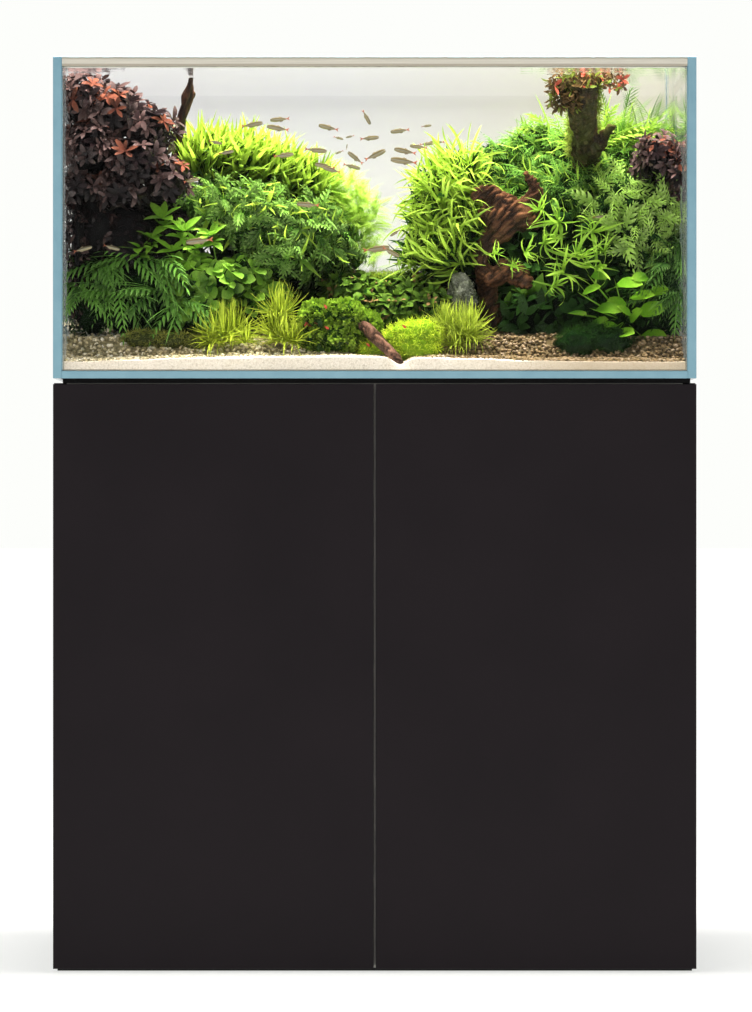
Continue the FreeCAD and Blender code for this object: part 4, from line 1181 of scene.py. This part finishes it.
def bough(name, tubes, material, nodes, voxel=2.4, ridges=2.2, seed=0.0, grain=(0, 0, 1)):
    """Tubes melted into one body, then weathered with hollows and with ridges along the grain."""
    points, quads = [], []
    for tube in tubes:
        tube_points, tube_quads = swept_tube(tube)
        quads += [tuple(q + len(points) for q in quad) for quad in tube_quads]
        points += tube_points
    mesh = bpy.data.meshes.new(name)
    mesh.from_pydata(points, [], quads)
    piece = bpy.data.objects.new(name, mesh)
    bpy.context.scene.collection.objects.link(piece)
    melt = piece.modifiers.new("melt", "REMESH")
    melt.mode = "VOXEL"
    melt.voxel_size = voxel * MM
    melt.use_smooth_shade = True
    smooth = piece.modifiers.new("smooth", "SMOOTH")
    smooth.factor = 0.6
    smooth.iterations = 3
    evaluated = piece.evaluated_get(bpy.context.evaluated_depsgraph_get())
    melted = bpy.data.meshes.new_from_object(evaluated)
    piece.modifiers.clear()
    piece.data = melted
    bpy.data.meshes.remove(mesh)
    grain = Vector(grain).normalized()
    shift = Vector((seed, seed * 1.7, seed * 0.3))
    normals = [vertex.normal.copy() for vertex in melted.vertices]
    depth_tone = melted.attributes.new("leaf", "FLOAT_COLOR", "POINT")
    for number, (vertex, normal) in enumerate(zip(melted.vertices, normals)):
        p = vertex.co
        swirl = p + 0.014 * noise.noise_vector(p * 18 + shift)
        squeezed = (swirl - grain * grain.dot(swirl) * 0.86) * 100
        ridge = min(1.0, 1.7 * abs(noise.fractal(squeezed + shift, 0.9, 2.1, 3)))
        hollow = noise.noise(p * 34 + shift)
        vertex.co = p + normal * ((1.6 * ridge - 1) * ridges + hollow * 1.3 * ridges) * MM
        depth_tone.data[number].color = (ridge, 0.5 + 0.5 * hollow, 0.5, 1.0)
    co = np.zeros(len(melted.vertices) * 3, np.float32)
    melted.vertices.foreach_get("co", co)
    melted.vertices.foreach_set("co", inside_tank(co.reshape(-1, 3)).astype(np.float32).ravel())
    melted.materials.clear()
    melted.materials.append(material)
    settle(piece, nodes)
    return piece


def driftwood():
    red_brown = wood_material("driftwood", (0.020, 0.008, 0.004), (0.19, 0.078, 0.034), (0.8, 0.0, 0.6),
                              foot_shade=0.95)
    dark = wood_material("dark_wood", (0.011, 0.006, 0.004), (0.15, 0.064, 0.038))
    mossed = wood_material("mossed_wood", (0.010, 0.006, 0.002), (0.095, 0.055, 0.020), moss=0.6)
    worn = wood_material("worn_twig", (0.030, 0.014, 0.009), (0.20, 0.100, 0.064))
    main = (
        ((139, 238, 138, 6), (146, 250, 140, 9), (160, 246, 146, 16), (176, 232, 148, 20),
         (196, 222, 148, 20)),
        ((150, 232, 142, 10), (163, 222, 146, 20), (188, 214, 148, 24), (212, 220, 148, 22),
         (224, 232, 148, 14)),
        ((214, 230, 148, 18), (224, 248, 146, 13), (221, 262, 146, 10), (209, 279, 146, 4.5)),
        ((200, 208, 150, 20), (218, 212, 148, 17), (230, 206, 146, 9)),
        ((196, 214, 150, 22), (176, 200, 150, 22), (160, 182, 150, 17), (150, 162, 148, 12),
         (147, 148, 146, 10)),
        ((146, 152, 148, 9), (152, 142, 146, 12), (168, 130, 142, 13), (184, 142, 140, 13),
         (200, 134, 140, 16)),
        ((196, 138, 142, 14), (210, 124, 140, 12), (217, 116, 142, 5)),
        ((176, 148, 142, 9), (188, 152, 138, 8)),
        ((152, 150, 158, 10), (158, 110, 190, 14), (163, 60, 200, 18), (165, 20, 200, 22)),
    )
    bough("driftwood_main_body", main, red_brown, ("driftwood_main",), 2.0, 3.2, 3.0,
          (0.8, 0, 0.6))
    spar = (((-286, 20, 190, 11), (-282, 150, 185, 11), (-275, 320, 175, 9.5), (-264, 374, 165, 8),
             (-255, 420, 150, 4)),
            ((-263, 382, 162, 5), (-253, 388, 158, 3)))
    bough("left_spar", spar, dark, ("driftwood_left_spar",), 2.0, 2.2, 8.0, (0.2, 0, 1))
    stump = (((296, 20, 300, 34), (296, 170, 290, 31), (294, 290, 230, 22), (292, 330, 170, 18),
              (290, 372, 120, 21), (292, 408, 95, 26)),
             ((294, 296, 215, 15), (314, 318, 170, 11), (334, 345, 150, 6)),
             ((284, 375, 110, 14), (262, 392, 100, 9), (250, 388, 96, 6)))
    bough("mossed_stump", stump, mossed, ("driftwood_stump",), 2.4, 3.4, 15.0)
    twig = (((-20, 68, 78, 8), (-10, 58, 66, 9), (10, 38, 48, 8.5), (28, 20, 30, 7.5), (37, 10, 22, 6)),)
    bough("front_twig", twig, worn, ("driftwood_twig",), 1.4, 1.3, 21.0, (0.8, 0, -0.6))


def stump_growth():
    """Small red-brown plants on the stump's head, moss hanging from it and lining the trunk."""
    rng = random.Random(71)
    t = Thicket()
    for _ in range(150):
        point = seen(rng.uniform(244, 350), rng.uniform(396, 424), rng.uniform(60, 130))
        growth = Vector((rng.uniform(-1, 1), rng.uniform(-0.8, 0.3), rng.uniform(-0.1, 0.6))).normalized()
        rosette(t, rng.choice(SPOON), point, growth, 3, rng.uniform(9, 16), 1.0, rng, rng.random(),
                rng.choice((0, 0, 0, 1, 2)))
    for _ in range(150):
        drop = rng.random()
        point = seen(rng.uniform(240, 282) + 8 * drop, 412 - 44 * drop, rng.uniform(75, 115))
        growth = Vector((rng.uniform(-0.8, 0.3), -0.3, rng.uniform(-1.0, -0.1))).normalized()
        rosette(t, rng.choice(SPOON), point, growth, 2, rng.uniform(8, 15), 0.7, rng, rng.random() * 0.6,
                rng.choice((0, 0, 0, 2)))
    for _ in range(420):
        z = rng.uniform(300, 400)
        side = rng.choice((-1, 1))
        point = seen(292 + side * rng.uniform(14, 22), z, 230 - 1.2 * (z - 290) + rng.uniform(-12, 8))
        growth = Vector((side, rng.uniform(-0.6, 0.2), rng.uniform(-0.5, 0.7))).normalized()
        rosette(t, TIP, point, growth, 1, rng.uniform(7, 13), 0.4, rng, rng.random(), 2)
    brown = leaf_material("stump_leaf", (0.022, 0.014, 0.006), (0.15, 0.085, 0.030), (0.24, 0.15, 0.06))
    red = leaf_material("stump_red", (0.22, 0.035, 0.02), (0.52, 0.11, 0.07), (0.6, 0.2, 0.12))
    green = leaf_material("stump_green", (0.08, 0.11, 0.01), (0.30, 0.38, 0.05), (0.46, 0.54, 0.12))
    return t.piece("stump_growth", (brown, red, green), "red_foliage")


def grey_stone():
    t = Thicket()
    t.lump(seen(121, 100, 132), (21 * MM, 22 * MM, 34 * MM), 0, rough=0.4, cells=18, seed=4.0)
    t.lump(seen(120, 44, 152), (24 * MM, 22 * MM, 42 * MM), 0, rough=0.35, cells=14, seed=9.0)
    return t.piece("grey_stone", (stone_material(),), "scape_stone", ("stone_grey",))


# ---- ground ---------------------------------------------------------------------------------------
BANK_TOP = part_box("gravel_banks")[1].z
BANK_STEP = 28 * MM                               # rise of the gravel's steep toe
TWIG_TIP_X = 36 * MM                              # where the front twig dips into the sand
PATH_LEFT, PATH_RIGHT = -26 * MM, 62 * MM         # the sand path through the gravel
TOE_PEBBLES = 4800
BANK_PEBBLES = 1600
LOOSE_PEBBLES = 1500


def fullness(x):
    """1 left of the middle, where the sand lies fullest, falling to 0 toward both ends."""
    return 0.5 + 0.5 * math.cos(math.pi * (x + 80 * MM) / INNER_X)


def sand_height(x, y):
    """Height of the sand: it swells in the middle, rises toward the gravel and dips at the twig."""
    swell = (7 * fullness(x) - 4) * MM
    dip = 9 * MM * math.exp(-((x - TWIG_TIP_X) / (13 * MM)) ** 2)
    rise = 6 * MM * min(1.0, (y - INNER_FRONT_Y) / (SAND_REAR_Y - INNER_FRONT_Y))
    ripple = 1.8 * MM * noise.noise(Vector((x * 16, y * 20, 0)))
    return SAND_Z + swell + rise - dip - 1 * MM + ripple


def gravel_toe(x):
    """Where the gravel ends toward the glass: close to it at the ends, well back in the middle."""
    wander = 10 * MM * noise.noise(Vector((x * 14, 0, 7)))
    return max(INNER_FRONT_Y + 12 * MM, SAND_REAR_Y - (2 + 42 * (1 - fullness(x))) * MM + wander)


def ground_height(x, y):
    """Height of the gravel: a steep toe, a gentle climb, and a dip where the sand path runs."""
    back = (y - SAND_REAR_Y) / (INNER_REAR_Y - SAND_REAR_Y)
    climb = BANK_TOP - SAND_Z - BANK_STEP
    bank = SAND_Z + BANK_STEP * min(1.0, back / 0.08) + climb * max(0.0, back)
    edge = min(abs(x - PATH_LEFT), abs(x - PATH_RIGHT)) / (22 * MM)
    dip = 1.0 if PATH_LEFT < x < PATH_RIGHT else max(0.0, 1 - edge)
    bumps = 2.5 * MM * noise.noise(Vector((x * 22, y * 22, 3)))
    return bank + (SAND_Z - bank) * dip + bumps


def grid_block(xs, ys, height, shade_of, lean=0.0):
    """A closed block from the base pane up to a height field; its front face leans back by lean."""
    columns, rows = len(xs), len(ys)
    top = [(x, y + lean * (j == 0), height(x, y)) for j, y in enumerate(ys) for x in xs]
    bottom = [(x, y, BED_Z + 0.2 * MM) for y in ys for x in xs]
    points = np.array(top + bottom)
    under = columns * rows
    quads = grid_faces(columns, rows)
    quads += [tuple(corner + under for corner in quad[::-1]) for quad in quads]
    rim = list(range(columns)) + [(j + 1) * columns - 1 for j in range(1, rows)]
    rim += [rows * columns - 2 - i for i in range(columns - 1)]
    rim += [(rows - 2 - j) * columns for j in range(rows - 2)]
    for a, b in zip(rim, rim[1:] + rim[:1]):
        quads.append((a, a + under, b + under, b))
    return points, quads, np.tile(shade_of, (len(points), 1))


def make_ground():
    """White sand in front and along the path, gravel banks under the planting, and loose pebbles."""
    rng = random.Random(81)
    xs = np.linspace(-INNER_X, INNER_X, 180)
    ys = np.linspace(INNER_FRONT_Y, INNER_REAR_Y, 60)
    t = Thicket()
    t.add_mesh(*grid_block(xs, ys, sand_height, (0.5, 0, 0.5, 1), 5 * MM), 0)
    sand = t.piece("white_sand", (sand_material(),), "white_sand", ("sand_bed",))
    for polygon in sand.data.polygons:
        polygon.use_smooth = polygon.normal.z > 0.7

    def gravel_height(x, y):
        return ground_height(x, y) - 1.5 * MM

    lay = np.linspace(SAND_REAR_Y - 6 * MM, INNER_REAR_Y, 70)
    pebbles = Thicket()
    pebbles.add_mesh(*grid_block(xs * 0.994, lay, gravel_height, (0.25, 0, 0.4, 1)), 0)
    pebble = ball(2)
    stretched = [Template(pebble.points * np.array(shape), pebble.quads, pebble.along)
                 for shape in ((1, 0.8, 0.6), (1, 0.7, 0.75), (0.9, 0.9, 0.65))]
    for number in range(TOE_PEBBLES + BANK_PEBBLES):
        x = rng.uniform(-INNER_X, INNER_X)
        at_toe = number < TOE_PEBBLES
        front, rear = (gravel_toe(x), SAND_REAR_Y + 34 * MM) if at_toe else (SAND_REAR_Y, INNER_REAR_Y)
        y = rng.uniform(front, rear)
        if PATH_LEFT - 8 * MM < x < PATH_RIGHT + 8 * MM:
            continue
        z = max(sand_height(x, y) + 0.4 * MM, ground_height(x, y))
        turn = Vector((rng.uniform(-1, 1), rng.uniform(-1, 1), rng.uniform(-0.5, 0.5)))
        pebbles.add(rng.choice(stretched), (x, y, z), frame_of(turn, UP), rng.uniform(1.8, 4.0) * MM,
                    rng.random(), 0.5)
    for _ in range(LOOSE_PEBBLES):
        x = rng.uniform(-INNER_X, INNER_X)
        near = max(INNER_FRONT_Y + 7 * MM, gravel_toe(x) - 26 * MM)
        y = near + (gravel_toe(x) - near) * rng.random() ** 0.5
        turn = Vector((rng.uniform(-1, 1), rng.uniform(-1, 1), 0.2))
        pebbles.add(rng.choice(stretched), (x, y, sand_height(x, y) + 0.3 * MM), frame_of(turn, UP),
                    rng.uniform(0.9, 1.9) * MM, rng.random(), 0.5)
    pebbles.piece("gravel_and_pebbles", (pebble_material(),), "river_gravel", ("gravel_banks",))


# ---- fish -----------------------------------------------------------------------------------------
def fish_body():
    """A slim closed body, nose toward +X. Its tones say how far toward the tail and how high."""
    rings, around = 9, 8
    points, shade = [], []
    for i in range(rings + 1):
        t = i / rings
        tall = 0.118 * math.sin(math.pi * min(1.0, 0.06 + 0.94 * t) ** 0.72) ** 0.85 + 0.012
        wide = tall * (0.52 - 0.3 * t)
        for j in range(around):
            a = 2 * math.pi * j / around
            points.append((0.5 - t, wide * math.sin(a), tall * math.cos(a)))
            shade.append((0.5, t, 0.5 + 0.5 * math.cos(a), 1.0))
    return np.array(points), tube_faces(rings, around), np.array(shade)


def fin(points):
    """A thin fin between four outline points in the fish's middle plane."""
    flat = [(x, side * 0.004, z) for side in (-1, 1) for x, z in points]
    quads = [(0, 1, 2, 3), (7, 6, 5, 4), (0, 4, 5, 1), (1, 5, 6, 2), (2, 6, 7, 3), (3, 7, 4, 0)]
    return np.array(flat), quads


SHOAL = (
    # x, z, depth, heading (1 right, -1 left), pitch in degrees, length in mm
    (-170, 345, 120, 1, 8, 30), (-134, 352, 150, -1, -4, 27), (-137, 340, 90, -1, 10, 30),
    (-66, 341, 160, -1, 14, 28), (-11, 354, 200, 1, -62, 22), (-50, 326, 240, 1, -14, 14),
    (-35, 328, 240, -1, -14, 12), (-6, 326, 180, 1, 4, 26), (34, 336, 170, -1, -8, 26),
    (73, 343, 190, 1, 8, 14), (-81, 309, 110, 1, -6, 30), (-50, 306, 230, -1, -20, 12),
    (-39, 314, 260, 1, 80, 8), (-126, 302, 130, 1, 8, 28), (-28, 299, 150, -1, 38, 26),
    (2, 303, 120, 1, 26, 32), (-31, 286, 180, 1, -16, 24), (41, 308, 110, -1, 12, 30),
    (60, 314, 140, -1, 8, 24), (74, 318, 180, 1, 4, 20), (86, 320, 200, -1, -4, 22),
    (39, 294, 100, -1, 8, 36), (-71, 287, 110, -1, 12, 28), (-62, 282, 100, -1, 16, 26),
    (-95, 233, 70, -1, 4, 30), (28, 193, 130, -1, -32, 16), (4, 171, 110, 1, 6, 36),
    (24, 166, 100, 1, -28, 26), (-407, 171, 60, 1, 14, 26), (-367, 173, 64, 1, -16, 24),
    (-247, 182, 55, -1, -6, 36), (-255, 267, 60, 1, 14, 22), (-207, 306, 70, 1, 8, 22),
    (-222, 320, 110, 1, -14, 18), (314, 216, 100, 1, 6, 16),
)


def make_shoal():
    rng = random.Random(91)
    t = Thicket()
    body_points, body_quads, body_shade = fish_body()
    fins = [fin(((-0.46, -0.02), (-0.64, -0.11), (-0.57, 0.0), (-0.46, 0.02))),
            fin(((-0.46, -0.02), (-0.57, 0.0), (-0.64, 0.11), (-0.46, 0.02))),
            fin(((0.02, 0.10), (-0.14, 0.08), (-0.17, 0.12), (-0.03, 0.16))),
            fin(((-0.08, -0.16), (-0.24, -0.12), (-0.22, -0.06), (-0.02, -0.09)))]
    for x, z, depth, heading, pitch, length in SHOAL:
        at = np.array(seen(x, z, depth))
        lift = math.radians(pitch)
        swing = rng.uniform(-0.35, 0.35)
        ahead = Vector((heading * math.cos(lift), swing, math.sin(lift)))
        axes = frame_of(ahead, UP) * 0.94 * length * MM
        t.add_mesh(body_points @ axes + at, body_quads, body_shade, 0)
        for number, (points, quads) in enumerate(fins):
            tone = np.tile((rng.random(), 0.5, 0.5, 1.0), (len(points), 1))
            t.add_mesh(points @ axes + at, quads, tone, 1 if number < 2 else 2)
    tail = leaf_material("fish_tail", (0.22, 0.08, 0.04), (0.52, 0.13, 0.07), (0.5, 0.3, 0.2), 0.3)
    clear_fin = leaf_material("fish_fin", (0.26, 0.20, 0.13), (0.42, 0.34, 0.24), (0.5, 0.42, 0.3), 0.4)
    t.piece("fish_shoal", (fish_material(), tail, clear_fin), "bright_foliage")


# ---- water ----------------------------------------------------------------------------------------
def water_surface():
    """The rippled surface, an open sheet from pane to pane."""
    columns, rows = 120, 60
    xs = np.linspace(-INNER_X, INNER_X, columns)
    ys = np.linspace(INNER_FRONT_Y, INNER_REAR_Y, rows)
    points = []
    for y in ys:
        for x in xs:
            ripple = 0.35 * MM * noise.noise(Vector((x * 30, y * 60, 5)))
            points.append((x, y, WATER_Z + ripple))
    t = Thicket()
    t.add_mesh(points, grid_faces(columns, rows), np.tile((0.5, 0, 0.5, 1), (len(points), 1)), 0)
    t.piece("water_surface", (water_skin(),), "tank_glass", clip=False)


def meniscus():
    """The wet line where the surface climbs the inside of the front pane."""
    reach, half = 1.4 * MM, 1.6 * MM
    end, y = INNER_X - 0.1 * MM, INNER_FRONT_Y + 0.1 * MM
    points = []
    for side in (-1, 1):
        points += [(side * end, y, WATER_Z - half), (side * (end - reach), y + reach, WATER_Z),
                   (side * end, y, WATER_Z + half)]
    quads = [(j, 3 + j, 3 + (j + 1) % 3, (j + 1) % 3) for j in range(3)]
    t = Thicket()
    t.add_mesh(points, quads, np.tile((0.5, 0, 0.5, 1), (len(points), 1)), 0)
    g = Graph("meniscus")
    ripple = g.ramp(g.noise(60.0, 3.0), 0.3, 0.7, -0.4 * MM, 0.4 * MM)
    above = g.math("GREATER_THAN", g.split_place()[2], g.math("ADD", ripple, WATER_Z))
    # painted light: an opaque strip, dark above the water and pale below, stands in for the way the
    # curved water reflects and bends light
    wet = g.finish(g.surface(g.blend(above, (0.85, 0.83, 0.76), (0.30, 0.27, 0.20)), 0.25))
    t.piece("water_line", (wet,), "tank_glass", clip=False)


# ---- stage ----------------------------------------------------------------------------------------
PAGE = (0.983, 0.991, 0.965)
ROOM_LIGHT = 0.5


def make_stage():
    """A pale floor that fades into the page with distance, and a world that looks like the page."""
    g = Graph("page_floor")
    tone = g.blend(g.ramp(g.noise(3.0), 0.3, 0.7, 0.0, 0.03), PAGE, (0.9, 0.9, 0.9))
    away = g.node("ShaderNodeVectorMath", {"operation": "LENGTH"}, _0=g.place()).outputs["Value"]
    material = g.finish(g.surface((0.30, 0.30, 0.30), 0.9, Emission_Color=tone,
                                  Emission_Strength=g.ramp(away, 0.9, 3.6, 0.66, 0.86)))
    bpy.ops.mesh.primitive_grid_add(x_subdivisions=8, y_subdivisions=8, size=120)
    floor = bpy.context.active_object
    floor.name = "studio_floor"
    floor.data.materials.append(material)
    world = bpy.data.worlds.new("studio")
    world.use_nodes = True
    tree = world.node_tree
    page = tree.nodes["Background"]
    page.inputs[0].default_value = (*PAGE, 1)
    room = tree.nodes.new("ShaderNodeBackground")
    room.inputs[0].default_value = (*PAGE, 1)
    room.inputs[1].default_value = ROOM_LIGHT
    seen_directly = tree.nodes.new("ShaderNodeLightPath").outputs["Is Camera Ray"]
    choose = tree.nodes.new("ShaderNodeMixShader")
    tree.links.new(seen_directly, choose.inputs[0])
    tree.links.new(room.outputs[0], choose.inputs[1])
    tree.links.new(page.outputs[0], choose.inputs[2])
    tree.links.new(choose.outputs[0], tree.nodes["World Output"].inputs[0])
    bpy.context.scene.world = world


def area_lamp(name, location, target, size, power, colour=(1, 1, 1)):
    data = bpy.data.lights.new(name, "AREA")
    data.shape = "RECTANGLE"
    data.size, data.size_y = size
    data.energy = power
    data.color = colour
    lamp = bpy.data.objects.new(name, data)
    lamp.location = location
    lamp.rotation_euler = (Vector(target) - Vector(location)).to_track_quat("-Z", "Y").to_euler()
    lamp.visible_camera = False
    lamp.visible_glossy = False
    bpy.context.scene.collection.objects.link(lamp)


def make_lights():
    area_lamp("tank_light", (0, -0.06, 2.45), (0, -0.02, 1.0), (0.90, 0.45), 190, (1.0, 0.97, 0.93))
    area_lamp("key_softbox", (-2.2, -3.4, 2.6), (0, 0, 0.8), (1.8, 1.8), 60)
    area_lamp("fill_softbox", (2.6, -3.0, 1.8), (0, 0, 0.7), (2.0, 2.0), 30)


# ---- everything -----------------------------------------------------------------------------------
def main():
    noise.seed_set(1)                                 # or noise_vector changes from run to run
    bpy.context.scene.view_settings.view_transform = "Standard"
    make_camera()
    make_stage()
    make_lights()
    finish_cad_nodes()
    make_ground()
    left_red_bush()
    right_red_bush()
    left_bright_bush()
    fine_stem_clump()
    centre_narrow_fern()
    right_hedge()
    right_fronds()
    undergrowth()
    left_round_leaves()
    dark_ferns()
    broad_leaves()
    left_grass()
    right_grass()
    moss_cushions()
    valley_plants()
    driftwood()
    stump_growth()
    grey_stone()
    make_shoal()
    water_surface()
    meniscus()


main()
